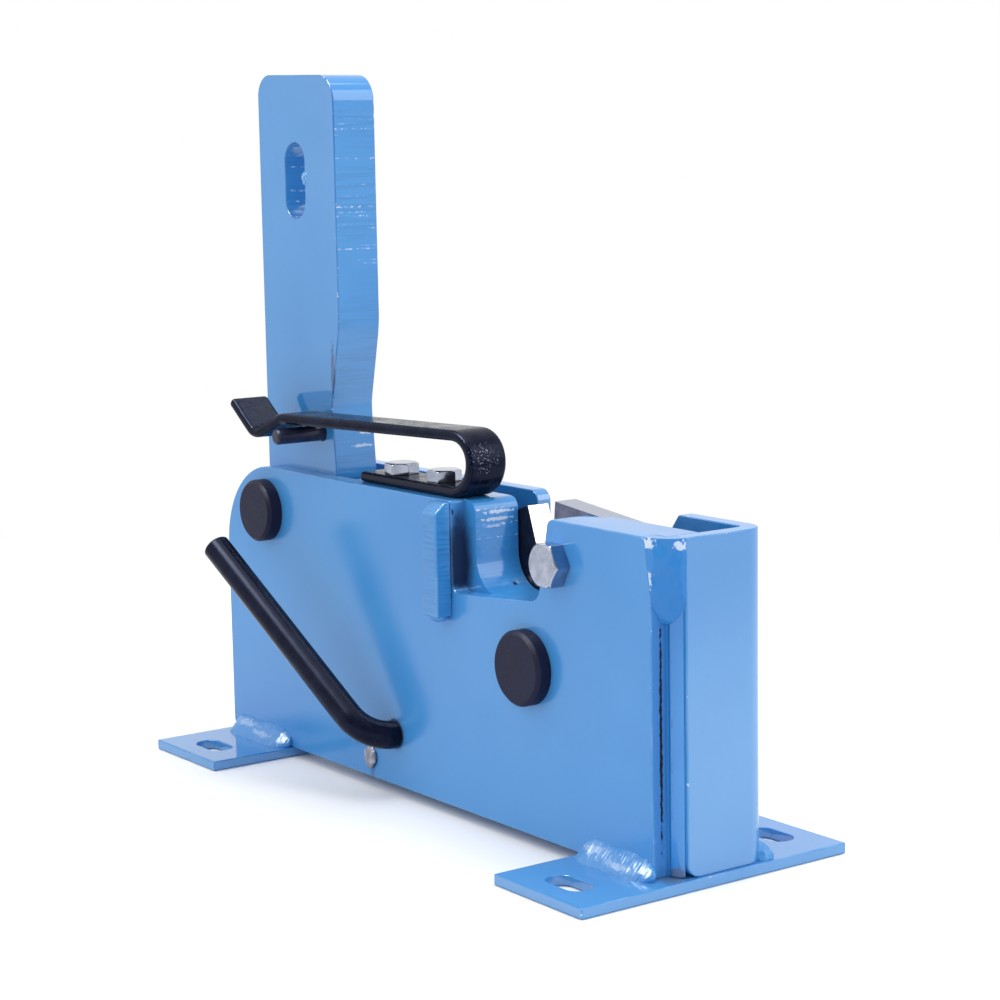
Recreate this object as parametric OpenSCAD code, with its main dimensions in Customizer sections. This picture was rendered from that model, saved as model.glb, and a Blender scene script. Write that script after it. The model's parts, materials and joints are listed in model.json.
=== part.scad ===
// Hand-operated rebar cutter, drawn as separate pieces in one frame.
// Millimetres. X runs along the frame to its bent front end, Y goes from the
// near side plate to the far one, Z is up, and the origin is under the middle.

/* [Frame] */
// Length over the two base plates
frame_len = 372; // [360:1:390]
// How far the near side plate stops short of the front end
near_setback = 11.5; // [10:0.5:14]
// How far the bent end stands back from the front edge of its base plate
web_inset = 2; // [1:0.2:4]
// Height of the top of both side plates
plate_top = 153; // [149:1:158]
// Thickness of the side plates
plate_t = 8; // [6:0.5:9]
// Clear width between the side plates
plate_gap = 42.5; // [41:0.5:48]
// Radius of the rear top corner of the side plates
corner_r = 46; // [38:1:50]
// Radius of the small rear bottom corner of the side plates
heel_r = 6; // [3:1:12]
// Outer radius of the bend at the front end
bend_r = 11.5; // [9.5:0.5:16]
// Width of the bent end, measured from its free edge to its outer corner
web_w = 46.7; // [44:0.1:48]
// Radius of the web's lower near corner
web_corner = 7; // [4:0.5:9]

/* [Base plates] */
// Width of each base plate along the frame
base_w = 62; // [58:1:70]
// Length of each base plate across the frame
base_len = 150; // [146:1:160]
// Thickness of the base plates
base_t = 5; // [4:0.5:6]
// Distance from the near ends of the base plates to the near side plate
near_margin = 47.5; // [45:0.5:50]
// Width of the bolt slots
slot_w = 13; // [11:0.5:15]
// End to end length of the bolt slots
slot_len = 25; // [20:0.5:30]
// Distance between the two slots of one base plate
slot_pitch = 115; // [110:1:120]

/* [Body block and notch] */
// Thickness of the body block between the side plates
block_t = 25; // [23:0.5:26]
// Distance from the rear end to the body block
block_rear = 115; // [112:1:120]
// Distance from the rear end to the rear wall of the near plate's notch
notch_rear = 213.5; // [211:0.5:216]
// Depth of the near plate's notch at its rear wall
notch_depth = 44; // [42:0.5:46]
// Length of the notch floor
notch_len = 67.5; // [66:0.5:70]
// Rise of the notch floor towards the front
notch_rise = 5.5; // [4:0.5:6]
// How far the front wall of the notch leans out at the top
notch_lean = 8; // [6:0.5:10]
// How far the body block's rear wall stands in front of the near plate's one
block_step = 9.1; // [8:0.1:10]
// Radius at the foot of the body block's rear wall
block_fillet = 17; // [14:0.5:20]
// Radius of the top corner of the body block's rear wall
block_brow_r = 6; // [4:0.5:8]
// Thickness of the front upright behind the near plate
upright_t = 18; // [17:0.5:19]
// How far the far plate's notch opens in front of the near plate's one
far_notch_extra = 30; // [26:1:34]
// Bore of the oil hole at the foot of the notch wall
oil_d = 2; // [1.5:0.5:3]

/* [Bar stop] */
// Width of the bar stop rib along the frame
rib_w = 12; // [10:0.2:14]
// How far the rib stands out of the near plate
rib_out = 8.8; // [7:0.2:10]
// Length of the rib below the notch floor
rib_below = 11; // [8:0.5:13]
// How far the rib stops below the top of the plate
rib_drop = 0.5; // [0.5:0.5:4]

/* [Pivots] */
// Distance from the rear end to the hand lever's pivot
lever_d = 42; // [40:0.5:44]
// Height of the hand lever's pivot
lever_z = 130; // [128:0.5:131]
// Distance from the rear end to the knife's pivot
knife_d = 273; // [271:0.5:275]
// Height of the knife's pivot
knife_z = 83.5; // [82:0.5:85]
// Diameter of the hand lever's pin
lever_pin_d = 22; // [20:0.5:24]
// Diameter of the knife's pin
knife_pin_d = 26; // [24:0.5:28]
// Diameter of the hand lever pin's head
lever_cap_d = 32.5; // [30:0.5:36]
// Thickness of the hand lever pin's head
lever_cap_h = 8; // [6:0.2:9]
// Diameter of the knife pin's head
knife_cap_d = 35; // [33:0.5:38]
// Thickness of the knife pin's head
knife_cap_h = 7.5; // [6:0.1:9]
// Chamfer on the pin heads
cap_chamfer = 1.8; // [1:0.1:2.5]
// Wall of the bushes
bush_wall = 3.5; // [3:0.1:4]
// Wall of the spacer rings
spacer_wall = 7; // [5:0.5:8]
// Width of the retaining rings
ring_t = 2; // [1.5:0.1:2.5]
// Depth of the retaining rings' grooves
groove_deep = 1; // [0.8:0.1:1.5]
// Height of the retaining rings above the pin
ring_rise = 4; // [3:0.5:6]
// Pin length past its retaining ring
pin_tail = 2.5; // [2:0.5:4]

/* [Hand lever] */
// Length of the lever above its pivot
lever_up = 226.5; // [215:0.5:240]
// Distance from the pivot back to the lever's rear edge
lever_back = 9.7; // [9:0.1:11]
// Width of the lever's shank
lever_w = 73.5; // [70:0.5:78]
// How much narrower the neck is than the shank
neck_in = 9; // [6:0.5:12]
// Height of the neck above the pivot
neck_up = 58; // [54:1:62]
// Height above the pivot where the shank has its full width again
shoulder_up = 99; // [92:1:110]
// Radius of the lever's rear top corner
lever_corner = 11; // [8:0.5:14]
// Radius of the lever's front top corner
lever_front_corner = 13.5; // [11:0.5:18]
// How far the lever's top falls towards its front
lever_top_fall = 2.5; // [0:0.5:4]
// Radius of the boss round the pivot
lever_boss_r = 22; // [21:0.5:23]
// Radius of the hub that carries the pinion
hub_r = 25.5; // [25:0.25:26]
// How far the hub is set forward and down from the pivot
hub_shift = 3.7; // [3:0.1:3.8]
// Width of the handle slot
handle_w = 19; // [16:0.5:22]
// End to end length of the handle slot
handle_len = 38.5; // [34:0.5:44]
// Distance from the top of the lever to the middle of the handle slot
handle_drop = 54.5; // [48:0.5:60]
// Distance from the shank's rear edge to the middle of the handle slot
handle_in = 35; // [32:0.5:38]

/* [Drive] */
// Teeth of a whole pinion
pinion_teeth = 12; // [11:1:13]
// Teeth of a whole sector gear
sector_teeth = 64; // [60:1:68]
// Swing of the hand lever in degrees
lever_swing = 105; // [95:1:110]
// Share of the pitch that a tooth fills
tooth_fill = 0.45; // [0.42:0.005:0.46]
// Radial depth of the sector's rim below its teeth
rim_deep = 20; // [16:1:24]
// Size of the countersunk screws in the pinion
pinion_screw_d = 5; // [4:0.5:5]
// Distance of those screws from the pivot
pinion_screw_r = 20.5; // [20:0.25:21]

/* [Knife] */
// Thickness of the knife lever
knife_t = 12; // [10:0.5:12.5]
// Distance from the knife's pivot back to the top of its cutting edge
edge_back = 43.4; // [42:0.2:45]
// Distance from the plate tops down to the top of the cutting edge
edge_drop = 3.6; // [3:0.2:6]
// Lean of the cutting edge in degrees
edge_lean = 19.5; // [18:0.5:21]
// Length of the cutting edge
edge_len = 41; // [39:0.5:42]
// Radius of the boss round the knife's pivot
knife_boss_r = 26.5; // [25:0.5:27]
// Depth of the knife's arm at the sector
arm_deep = 62; // [50:1:70]
// Flat behind the top of the cutting edge
edge_land = 24; // [18:1:30]

/* [Fixed blade] */
// Length of the fixed blade
blade_len = 60; // [56:1:62]
// Height of the fixed blade
blade_h = 40; // [38:0.5:41]
// Thickness of the fixed blade
blade_t = 12; // [10:0.5:13]
// Tilt of the fixed blade in degrees
blade_tilt = 6; // [4:0.5:8]
// Distance from the rear end to the middle of the fixed blade
blade_d = 294.8; // [293:0.2:297]
// Distance from the plate tops down to the middle of the fixed blade
blade_drop = 19.5; // [18:0.5:20]
// Size of the fixed blade's bolt
blade_bolt_d = 12; // [10:1:12]
// Width across the flats of that bolt's head
blade_bolt_af = 19; // [17:0.5:20]
// Height of that bolt's head
blade_bolt_k = 8; // [6:0.5:9]

/* [Latch spring] */
// Width of the spring strip
strip_w = 21.5; // [19:0.5:23]
// Thickness of the spring strip
strip_t = 5.3; // [4.5:0.1:6]
// Distance from the rear end to the free end of the strip's foot
foot_d = 127; // [124:0.5:130]
// Length of the strip's foot up to its bend
foot_len = 79; // [76:0.5:82]
// Distance from the near plate's face to the strip's foot
foot_in = 4.7; // [3:0.1:7]
// Outer radius of the strip's bend
strip_bend_r = 16.2; // [15:0.2:18]
// Length of the arm from the bend to the catch
arm_len = 123.5; // [122:0.5:126]
// Depth of the catch below the arm
catch_deep = 9.5; // [8:0.5:11]
// Length of the arm's slope down to the catch
catch_run = 21; // [18:0.5:24]
// Length of the thumb tab past the catch, along the arm
tab_run = 17; // [14:0.5:20]
// Rise of the thumb tab above the catch
tab_rise = 16.5; // [14:0.5:20]
// Size of the foot's bolts
foot_bolt_d = 10; // [8:1:10]
// Width across the flats of the foot bolts' heads
foot_bolt_af = 15; // [14:0.5:17]
// Height of the foot bolts' heads
foot_bolt_k = 5.8; // [5:0.2:7]
// Distance from the foot's free end to its first bolt
foot_bolt_in = 22.5; // [18:0.5:25]
// Distance between the foot's bolts
foot_bolt_pitch = 37; // [33:1:41]
// Depth of the foot bolts' thread in the body block
foot_bolt_deep = 22; // [18:1:26]
// Diameter of the pin that the catch holds
latch_pin_d = 8; // [7:0.5:9]
// How far that pin stands out of the lever
latch_pin_out = 28; // [26:0.5:30]
// Depth of that pin in the lever
latch_pin_deep = 18; // [14:0.5:20]
// Distance from the hand lever's pivot forward to that pin
latch_pin_fwd = 45; // [43:0.5:47]
// Gap between that pin and the arm over it
latch_pin_gap = 2.2; // [1.6:0.2:3]

/* [Side rod] */
// Diameter of the swivelling rod
rod_d = 14; // [13.5:0.5:15]
// Distance from the rear end to the rod's socket
rod_at = 161; // [158:0.5:164]
// Height of the rod's socket
rod_z = 31; // [28:0.5:33]
// Bend radius of the rod's middle line
rod_bend = 19; // [16:0.5:22]
// Diameter of the rod's spigot in its socket
rod_spigot_d = 12.5; // [10:0.5:13]
// Gap between the rod's shoulder and the plate
rod_lead = 0.5; // [0.3:0.1:2]
// Straight length of the rod past its bend
rod_leg = 120.5; // [110:0.5:124]
// Angle between the rod's leg and the plate's outward normal
rod_turn = 80; // [78:0.5:86]
// Slope of the rod's leg against the frame in degrees
rod_slope = 40; // [36:1:46]
// Depth of the rod's socket in the body block
rod_deep = 20; // [16:0.5:22]
// Diameter of the plug under the rod
plug_d = 9; // [8:0.5:10]
// Distance from the rod's socket back to the plug
plug_back = 21.5; // [20:0.5:24]
// Distance from the rod's socket down to the plug
plug_down = 15.5; // [14.5:0.5:17]
// How far the plug stands out
plug_out = 2; // [1:0.5:3]

/* [Welds] */
// Leg of the fillet welds
weld_leg = 6; // [4:0.5:7]

/* [Fits] */
// Running clearance of a pin in its bush, on the radius
run_fit = 0.05; // [0.03:0.01:0.1]
// Clearance of a fixed pin, plug or bush in its hole, on the radius
seat_fit = 0.05; // [0.03:0.01:0.1]
// Clearance beside a moving lever
side_gap = 0.25; // [0.2:0.05:0.35]
// Shear clearance between the two cutting edges
blade_gap = 0.2; // [0.15:0.05:0.3]
// Clearance of a bolt in its hole, on the radius
bolt_fit = 0.4; // [0.2:0.1:0.6]
// Clearance between the latch arm and the hand lever's side
arm_gap = 0.35; // [0.2:0.05:0.6]
// Clearance round the fixed blade in its seat
blade_fit = 0.2; // [0.1:0.05:0.3]

/* [Part shown] */
// Name of the piece to draw, or all of them

/* [Hidden] */

$fn = 64;
// Faces of the side plates and of what runs between them
near_y = -base_len / 2 + near_margin;
in_y = near_y + plate_t;
block_far_y = in_y + block_t;
far_y = in_y + plate_gap;
out_y = far_y + plate_t;
lever_y = in_y + side_gap;
lever_t = block_t - 2 * side_gap;
lever_far_y = lever_y + lever_t;
knife_y = block_far_y + blade_gap;
knife_far_y = knife_y + knife_t;
// Ends along the frame
rear_x = -frame_len / 2;
near_end_x = frame_len / 2 - near_setback;
web_x = frame_len / 2 - web_inset;
web_in_x = web_x - plate_t;
web_near_y = out_y - web_w;
rear_base_x = rear_x + base_w / 2;
front_base_x = frame_len / 2 - base_w / 2;
// Notch
notch_x = rear_x + notch_rear;
notch_front_x = notch_x + notch_len;
floor_z = plate_top - notch_depth;
front_floor_z = floor_z + notch_rise;
wall_x = notch_x + block_step;
// Pivots
lever_x = rear_x + lever_d;
knife_x = rear_x + knife_d;
lever_bush_d = lever_pin_d + 2 * (run_fit + bush_wall);
knife_bush_d = knife_pin_d + 2 * (run_fit + bush_wall);
// Hand lever outline
shank_rear_x = lever_x - lever_back;
shank_front_x = shank_rear_x + lever_w;
lever_top_z = lever_z + lever_up;
slot_x = shank_rear_x + handle_in;
slot_z = lever_top_z - handle_drop;
// Gear pair: both pitch circles meet on the line between the pivots
centre_dist = norm([knife_x - lever_x, knife_z - lever_z]);
gear_m = 2 * centre_dist / (pinion_teeth + sector_teeth);
pinion_r = gear_m * pinion_teeth / 2;
sector_r = gear_m * sector_teeth / 2;
pressure = 25;
tooth_up = 0.75 * gear_m;
tooth_down = gear_m;
mesh_dir = atan2(knife_z - lever_z, knife_x - lever_x);
knife_swing = lever_swing * pinion_teeth / sector_teeth;
pinion_step = 360 / pinion_teeth;
sector_step = 360 / sector_teeth;
pinion_last = -ceil(lever_swing / pinion_step);
sector_last = ceil(knife_swing / sector_step);
pie_from = mesh_dir + (pinion_last - 0.4) * pinion_step;
pie_to = mesh_dir + 1.4 * pinion_step;
sector_root_r = sector_r - tooth_down;
rim_r = sector_root_r - rim_deep;
rim_from = mesh_dir + 180 - sector_step;
rim_to = mesh_dir + 180 + (sector_last + 1) * sector_step;
// Knife outline
edge_x = knife_x - edge_back;
edge_z = plate_top - edge_drop;
edge_foot = [edge_x + edge_len * sin(edge_lean), edge_z - edge_len * cos(edge_lean)];
// Fixed blade
blade_x = rear_x + blade_d;
blade_z = plate_top - blade_drop;
blade_far_y = block_far_y;
blade_y = blade_far_y - blade_t;
upright_far_y = in_y + upright_t;
// Latch spring
foot_x = rear_x + foot_d;
bend_x = foot_x + foot_len;
strip_y = near_y + foot_in + strip_w / 2;
strip_mid_r = strip_bend_r - strip_t / 2;
bend_z = plate_top + strip_bend_r;
arm_z = bend_z + strip_mid_r;
foot_top_z = plate_top + strip_t;
// The arm leads off so far that it passes beside the hand lever
arm_past = strip_y + strip_w / 2 - lever_y + arm_gap;
arm_skew = atan2(arm_past, bend_x - shank_front_x + neck_in * 0.7);
latch_pin_x = lever_x + latch_pin_fwd;
latch_pin_z = arm_z - strip_t / 2 - latch_pin_gap - latch_pin_d / 2;
foot_bolts_x = [foot_x + foot_bolt_in, foot_x + foot_bolt_in + foot_bolt_pitch];
// Side rod
rod_x = rear_x + rod_at;
plug_x = rod_x - plug_back;
plug_z = rod_z - plug_down;

// Direction of a vector at length one
function unit(v) = v / norm(v);

// Turn from one angle to another the short way round
function short_turn(a) = a > 180 ? a - 360 : a < -180 ? a + 360 : a;

// Points of the arc that rounds corner b between points a and c
function arc_at(a, b, c, r, n) =
    let (u = unit(a - b), v = unit(c - b))
    let (half = acos(u * v) / 2)
    let (m = b + unit(u + v) * r / sin(half))
    let (p = b + u * r / tan(half) - m, q = b + v * r / tan(half) - m)
    let (from = atan2(p[1], p[0]))
    let (turn = short_turn(atan2(q[1], q[0]) - from))
    [for (i = [0 : n]) m + r * [cos(from + turn * i / n), sin(from + turn * i / n)]];

// Closed outline from corners [x, z, radius]
function rounded(c, n = 10) =
    let (k = len(c))
    [for (i = [0 : k - 1])
        let (a = c[(i + k - 1) % k], b = c[i], d = c[(i + 1) % k])
        each b[2] > 0
            ? arc_at([a[0], a[1]], [b[0], b[1]], [d[0], d[1]], b[2], n)
            : [[b[0], b[1]]]];

// Open line from corners [x, z, radius]
function rounded_line(c, n = 8) =
    let (k = len(c))
    [for (i = [0 : k - 1])
        each i > 0 && i < k - 1 && c[i][2] > 0
            ? arc_at([c[i-1][0], c[i-1][1]], [c[i][0], c[i][1]], [c[i+1][0], c[i+1][1]], c[i][2], n)
            : [[c[i][0], c[i][1]]]];

// Involute of an angle, in degrees
function involute(a) = tan(a) * 180 / PI - a;

// Half the angle that a tooth fills at radius r
function tooth_half(r, pitch_r, teeth) =
    let (base_r = pitch_r * cos(pressure))
    tooth_fill * 180 / teeth + involute(pressure)
        - involute(r > base_r ? acos(base_r / r) : 0);

// Outline of one tooth that points along dir
function tooth(pitch_r, teeth, dir) =
    let (low = pitch_r - tooth_down, top = pitch_r + tooth_up, n = 6)
    let (flank = [for (i = [0 : n]) low + (top - low) * i / n])
    concat([(low - 2) * [cos(dir), sin(dir)]],
        [for (r = flank) r * [cos(dir - tooth_half(r, pitch_r, teeth)), sin(dir - tooth_half(r, pitch_r, teeth))]],
        [for (i = [n : -1 : 0]) flank[i] * [cos(dir + tooth_half(flank[i], pitch_r, teeth)),
            sin(dir + tooth_half(flank[i], pitch_r, teeth))]]);

// Plate of thickness t whose outline is drawn in X and Z, from y0 on
module slab(y0, t) {
    translate([0, y0 + t, 0])
        rotate([90, 0, 0])
            linear_extrude(t)
                children();
}

// Round bar along Y
module bar_y(x, z, d, y0, y1) {
    translate([x, y1, z])
        rotate([90, 0, 0])
            cylinder(d = d, h = y1 - y0);
}

// Hexagon bolt head that stands up along Z
module hex_head(af, k) {
    intersection() {
        cylinder(d = af / cos(30), h = k, $fn = 6);
        cylinder(r1 = af / 2 + k * 1.6, r2 = af / 2 - 0.3, h = k);
    }
}

// Outline of the near plate with its notch
module near_outline() {
    polygon(rounded([
        [rear_x, base_t, heel_r],
        [near_end_x, base_t, 0],
        [near_end_x, plate_top - 24, 20],
        [near_end_x - 4, plate_top, 3],
        [notch_front_x + notch_lean, plate_top, 4],
        [notch_front_x, front_floor_z, 8],
        [notch_x, floor_z, 5],
        [notch_x, plate_top, 1.5],
        [rear_x, plate_top, corner_r]], 16));
}

module near_side_plate() {
    color("SteelBlue")
    difference() {
        slab(near_y, plate_t)
            near_outline();
        bar_y(lever_x, lever_z, lever_pin_d + 2 * seat_fit, near_y - 1, in_y + 1);
        bar_y(knife_x, knife_z, knife_pin_d + 2 * seat_fit, near_y - 1, in_y + 1);
        bar_y(blade_x, blade_z, blade_bolt_d + 2 * bolt_fit, near_y - 1, in_y + 1);
        bar_y(rod_x, rod_z, rod_spigot_d + 2 * run_fit, near_y - 1, in_y + 1);
        bar_y(plug_x, plug_z, plug_d + 2 * seat_fit, near_y - 1, in_y + 1);
    }
}

// Plan of the far plate and its bent end
module far_plan() {
    polygon(rounded([
        [rear_x, far_y, 0],
        [web_in_x, far_y, bend_r - plate_t],
        [web_in_x, web_near_y, 0],
        [web_x, web_near_y, 0],
        [web_x, out_y, bend_r],
        [rear_x, out_y, 0]], 16));
}

// Side outline of the far plate and its bent end
module far_outline() {
    polygon(rounded([
        [rear_x, base_t, heel_r],
        [web_x + 1, base_t, 0],
        [web_x + 1, plate_top, 0],
        [notch_front_x + notch_lean + far_notch_extra, plate_top, 1.5],
        [notch_front_x + 4, floor_z, 8],
        [notch_x + 0.8, floor_z, 6],
        [notch_x + 0.8, plate_top, 6],
        [rear_x, plate_top, corner_r]], 16));
}

module far_side_plate() {
    color("SteelBlue")
    difference() {
        intersection() {
            translate([0, 0, base_t])
                linear_extrude(plate_top - base_t)
                    far_plan();
            slab(near_y, out_y - near_y)
                far_outline();
        }
        bar_y(lever_x, lever_z, lever_pin_d + 2 * seat_fit, far_y - 1, out_y + 1);
        bar_y(knife_x, knife_z, knife_pin_d + 2 * seat_fit, far_y - 1, out_y + 1);
        translate([web_in_x - 1, web_near_y, base_t])
            rotate([90, 0, 90])
                linear_extrude(plate_t + 2)
                    difference() {
                        translate([-1, -1])
                            square(web_corner + 1);
                        translate([web_corner, web_corner])
                            circle(r = web_corner);
                    }
    }
}

// Outline of the body block with its notch
module block_outline() {
    polygon(rounded([
        [rear_x + block_rear, base_t, 0],
        [web_in_x, base_t, 0],
        [web_in_x, plate_top, 0],
        [notch_front_x + notch_lean, plate_top, 4],
        [notch_front_x, front_floor_z - 1, 5],
        [wall_x + block_fillet * 2, floor_z + 1, 0],
        [wall_x, floor_z + 1, block_fillet],
        [wall_x, plate_top, block_brow_r],
        [rear_x + block_rear, plate_top, 4]], 16));
}

// Outline of the fixed blade, grown by g
module blade_outline(g) {
    translate([blade_x, blade_z])
        rotate([0, 0, -blade_tilt])
            square([blade_len + 2 * g, blade_h + 2 * g], center = true);
}

module body_block() {
    color("SteelBlue")
    difference() {
        slab(in_y, block_t)
            block_outline();
        slab(upright_far_y, block_t)
            translate([notch_front_x - 30, front_floor_z])
                square([frame_len, plate_top]);
        slab(blade_y, block_t)
            blade_outline(blade_fit);
        bar_y(knife_x, knife_z, knife_pin_d + 2 * seat_fit, in_y - 1, block_far_y + 1);
        bar_y(blade_x, blade_z, blade_bolt_d + 2 * bolt_fit, in_y - 1, block_far_y);
        bar_y(rod_x, rod_z, rod_spigot_d + 2 * run_fit, in_y - 1, in_y + rod_deep + side_gap);
        for (x = foot_bolts_x)
            translate([x, strip_y, plate_top - foot_bolt_deep - 1])
                cylinder(d = foot_bolt_d + 2 * seat_fit, h = foot_bolt_deep + 2);
        translate([wall_x + 7, block_far_y - 7.75, floor_z - 7])
            cylinder(d = oil_d, h = 20);
    }
}

// One base plate with its two bolt slots
module base_plate(x) {
    difference() {
        translate([x - base_w / 2, -base_len / 2, 0])
            cube([base_w, base_len, base_t]);
        for (s = [-1, 1])
            translate([x, s * slot_pitch / 2, -1])
                linear_extrude(base_t + 2)
                    union() {
                        square([slot_len - slot_w, slot_w], center = true);
                        translate([(slot_len - slot_w) / 2, 0])
                            circle(d = slot_w);
                        translate([-(slot_len - slot_w) / 2, 0])
                            circle(d = slot_w);
                    }
    }
}

module rear_base_plate() {
    color("CornflowerBlue")
    base_plate(rear_base_x);
}

module front_base_plate() {
    color("CornflowerBlue")
    base_plate(front_base_x);
}

module bar_stop_rib() {
    color("LightSteelBlue")
    difference() {
        translate([notch_x - rib_w, near_y - rib_out, floor_z - rib_below])
            cube([rib_w, rib_out, notch_depth + rib_below - rib_drop]);
        translate([notch_x - rib_w - 1, near_y - rib_out, plate_top - rib_drop - 5])
            rotate([40, 0, 0])
                cube([rib_w + 2, 20, 20]);
    }
}

// Fillet weld along X in the corner between a plate face and its base
module fillet(x0, x1, y, side) {
    translate([x0, y, base_t])
        rotate([90, 0, 90])
            linear_extrude(x1 - x0)
                polygon([[0, 0], [side * weld_leg, 0], [side * weld_leg * 0.62, weld_leg * 0.3],
                    [side * weld_leg * 0.3, weld_leg * 0.62], [0, weld_leg]]);
}

module base_welds() {
    color("RoyalBlue")
    union() {
        fillet(rear_x + heel_r + 2, rear_x + base_w - 3, near_y, -1);
        fillet(frame_len / 2 - base_w + 3, near_end_x, near_y, -1);
        fillet(rear_x + heel_r + 2, rear_x + base_w - 3, out_y, 1);
        fillet(frame_len / 2 - base_w + 3, web_x - bend_r, out_y, 1);
    }
}

module seam_weld() {
    color("RoyalBlue")
    translate([0, 0, base_t])
        linear_extrude(plate_top - base_t - 4)
            polygon([[web_in_x, in_y], [web_in_x + plate_t * 0.45, in_y + (web_near_y - in_y) * 0.35],
                [web_x - 1, web_near_y], [web_in_x, web_near_y]]);
}

module fixed_blade() {
    color("DimGray")
    difference() {
        slab(blade_y, blade_t)
            blade_outline(0);
        bar_y(blade_x, blade_z, blade_bolt_d + 2 * seat_fit, blade_y - 1, blade_far_y + 1);
    }
}

module fixed_blade_bolt() {
    color("Silver")
    union() {
        translate([blade_x, near_y, blade_z])
            rotate([90, 0, 0])
                hex_head(blade_bolt_af, blade_bolt_k);
        bar_y(blade_x, blade_z, blade_bolt_d, near_y, blade_far_y - 1);
    }
}

// Headed pivot pin with a groove for its retaining ring
module pivot_pin(x, z, d, head_d, head_h) {
    tail_y = out_y + side_gap + ring_t + pin_tail;
    difference() {
        union() {
            bar_y(x, z, d, near_y, tail_y);
            translate([x, near_y, z])
                rotate([90, 0, 0])
                    union() {
                        cylinder(d = head_d, h = head_h - cap_chamfer);
                        translate([0, 0, head_h - cap_chamfer])
                            cylinder(d1 = head_d, d2 = head_d - 2 * cap_chamfer, h = cap_chamfer);
                    }
        }
        difference() {
            bar_y(x, z, d + 2, out_y + side_gap, out_y + side_gap + ring_t);
            bar_y(x, z, d - 2 * groove_deep, out_y, tail_y + 1);
        }
    }
}

// Open retaining ring in the groove of a pin
module pin_ring(x, z, d) {
    slab(out_y + side_gap + 0.05, ring_t - 0.1)
        difference() {
            translate([x, z])
                circle(d = d + 2 * ring_rise);
            translate([x, z])
                circle(d = d - 2 * groove_deep + 2 * seat_fit);
            translate([x - d / 5, z - d - ring_rise])
                square([d / 2.5, d + ring_rise]);
        }
}

// Distance ring between a moving lever and the far plate
module pin_spacer(x, z, d) {
    difference() {
        bar_y(x, z, d + 2 * spacer_wall, knife_far_y + side_gap, far_y);
        bar_y(x, z, d + 2 * seat_fit, knife_far_y, far_y + 1);
    }
}

module lever_pin() {
    color("DarkSlateGray")
    pivot_pin(lever_x, lever_z, lever_pin_d, lever_cap_d, lever_cap_h);
}

module lever_pin_ring() {
    color("Gray")
    pin_ring(lever_x, lever_z, lever_pin_d);
}

module lever_spacer() {
    color("Silver")
    pin_spacer(lever_x, lever_z, lever_pin_d);
}

module knife_pin() {
    color("DarkSlateGray")
    pivot_pin(knife_x, knife_z, knife_pin_d, knife_cap_d, knife_cap_h);
}

module knife_pin_ring() {
    color("Gray")
    pin_ring(knife_x, knife_z, knife_pin_d);
}

module knife_spacer() {
    color("Silver")
    pin_spacer(knife_x, knife_z, knife_pin_d);
}

module latch_foot() {
    color("DimGray")
    difference() {
        union() {
            translate([foot_x, strip_y - strip_w / 2 + strip_t / 2, plate_top])
                cube([foot_len, strip_w - strip_t, strip_t]);
            for (s = [-1, 1])
                translate([foot_x, strip_y + s * (strip_w - strip_t) / 2, plate_top + strip_t / 2])
                    rotate([0, 90, 0])
                        cylinder(d = strip_t, h = foot_len);
        }
        for (x = foot_bolts_x)
            translate([x, strip_y, plate_top - 1])
                cylinder(d = foot_bolt_d + 2 * bolt_fit, h = strip_t + 2);
    }
}

// Round-edged section of the strip: [across, through the thickness]
strip_section = [for (s = [-1, 1]) for (i = [0 : 6])
    let (a = (s < 0 ? 90 : -90) + i * 30)
    [s * (strip_w - strip_t) / 2 + cos(a) * strip_t / 2, sin(a) * strip_t / 2]];

// A point of the strip at [s, z] on its middle line, led off by skew in plan
function strip_point(p, skew, normal, q) = [
    bend_x + (p[0] + normal[0] * q[1]) * cos(skew),
    strip_y + (p[0] + normal[0] * q[1]) * sin(skew) + q[0],
    p[1] + normal[1] * q[1]];

// Strip swept along stations [middle point, normal, skew]
module strip_sweep(stations) {
    k = len(strip_section);
    n = len(stations);
    points = [for (t = stations) for (q = strip_section) strip_point(t[0], t[2], t[1], q)];
    sides = [for (j = [0 : n - 2]) for (i = [0 : k - 1])
        let (a = j * k + i, b = j * k + (i + 1) % k)
        each [[a, b, b + k], [a, b + k, a + k]]];
    ends = [[for (i = [k - 1 : -1 : 0]) i], [for (i = [0 : k - 1]) (n - 1) * k + i]];
    polyhedron(points, concat(sides, ends), convexity = 6);
}

bend_steps = 28;
bend_stations = [for (i = [0 : bend_steps])
    let (a = 180 * i / bend_steps)
    [[strip_mid_r * sin(a), bend_z - strip_mid_r * cos(a)], [-sin(a), cos(a)], arm_skew * i / bend_steps]];

module latch_bend() {
    color("DimGray")
    strip_sweep(bend_stations);
}

// Middle line of the arm, from the bend to the tip of its thumb tab
arm_line = rounded_line([
    [0, arm_z, 0],
    [-arm_len, arm_z, 10],
    [-arm_len - catch_run, arm_z - catch_deep, 6],
    [-arm_len - catch_run - tab_run, arm_z - catch_deep + tab_rise, 0]]);

// Normal of the middle line at its point i
function arm_normal(i) =
    let (n = len(arm_line))
    let (u = i > 0 ? unit(arm_line[i] - arm_line[i - 1]) : unit(arm_line[1] - arm_line[0]))
    let (v = i < n - 1 ? unit(arm_line[i + 1] - arm_line[i]) : u)
    let (w = unit(u + v))
    [w[1], -w[0]];

module latch_arm() {
    color("DimGray")
    strip_sweep([for (i = [0 : len(arm_line) - 1]) [arm_line[i], -arm_normal(i), arm_skew]]);
}

module latch_bolts() {
    color("Silver")
    for (i = [0, 1])
        translate([foot_bolts_x[i], strip_y, foot_top_z])
            rotate([0, 0, i == 0 ? -9 : 4])
                union() {
                    hex_head(foot_bolt_af, foot_bolt_k);
                    translate([0, 0, -strip_t - foot_bolt_deep])
                        cylinder(d = foot_bolt_d, h = strip_t + foot_bolt_deep);
                }
}

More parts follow.
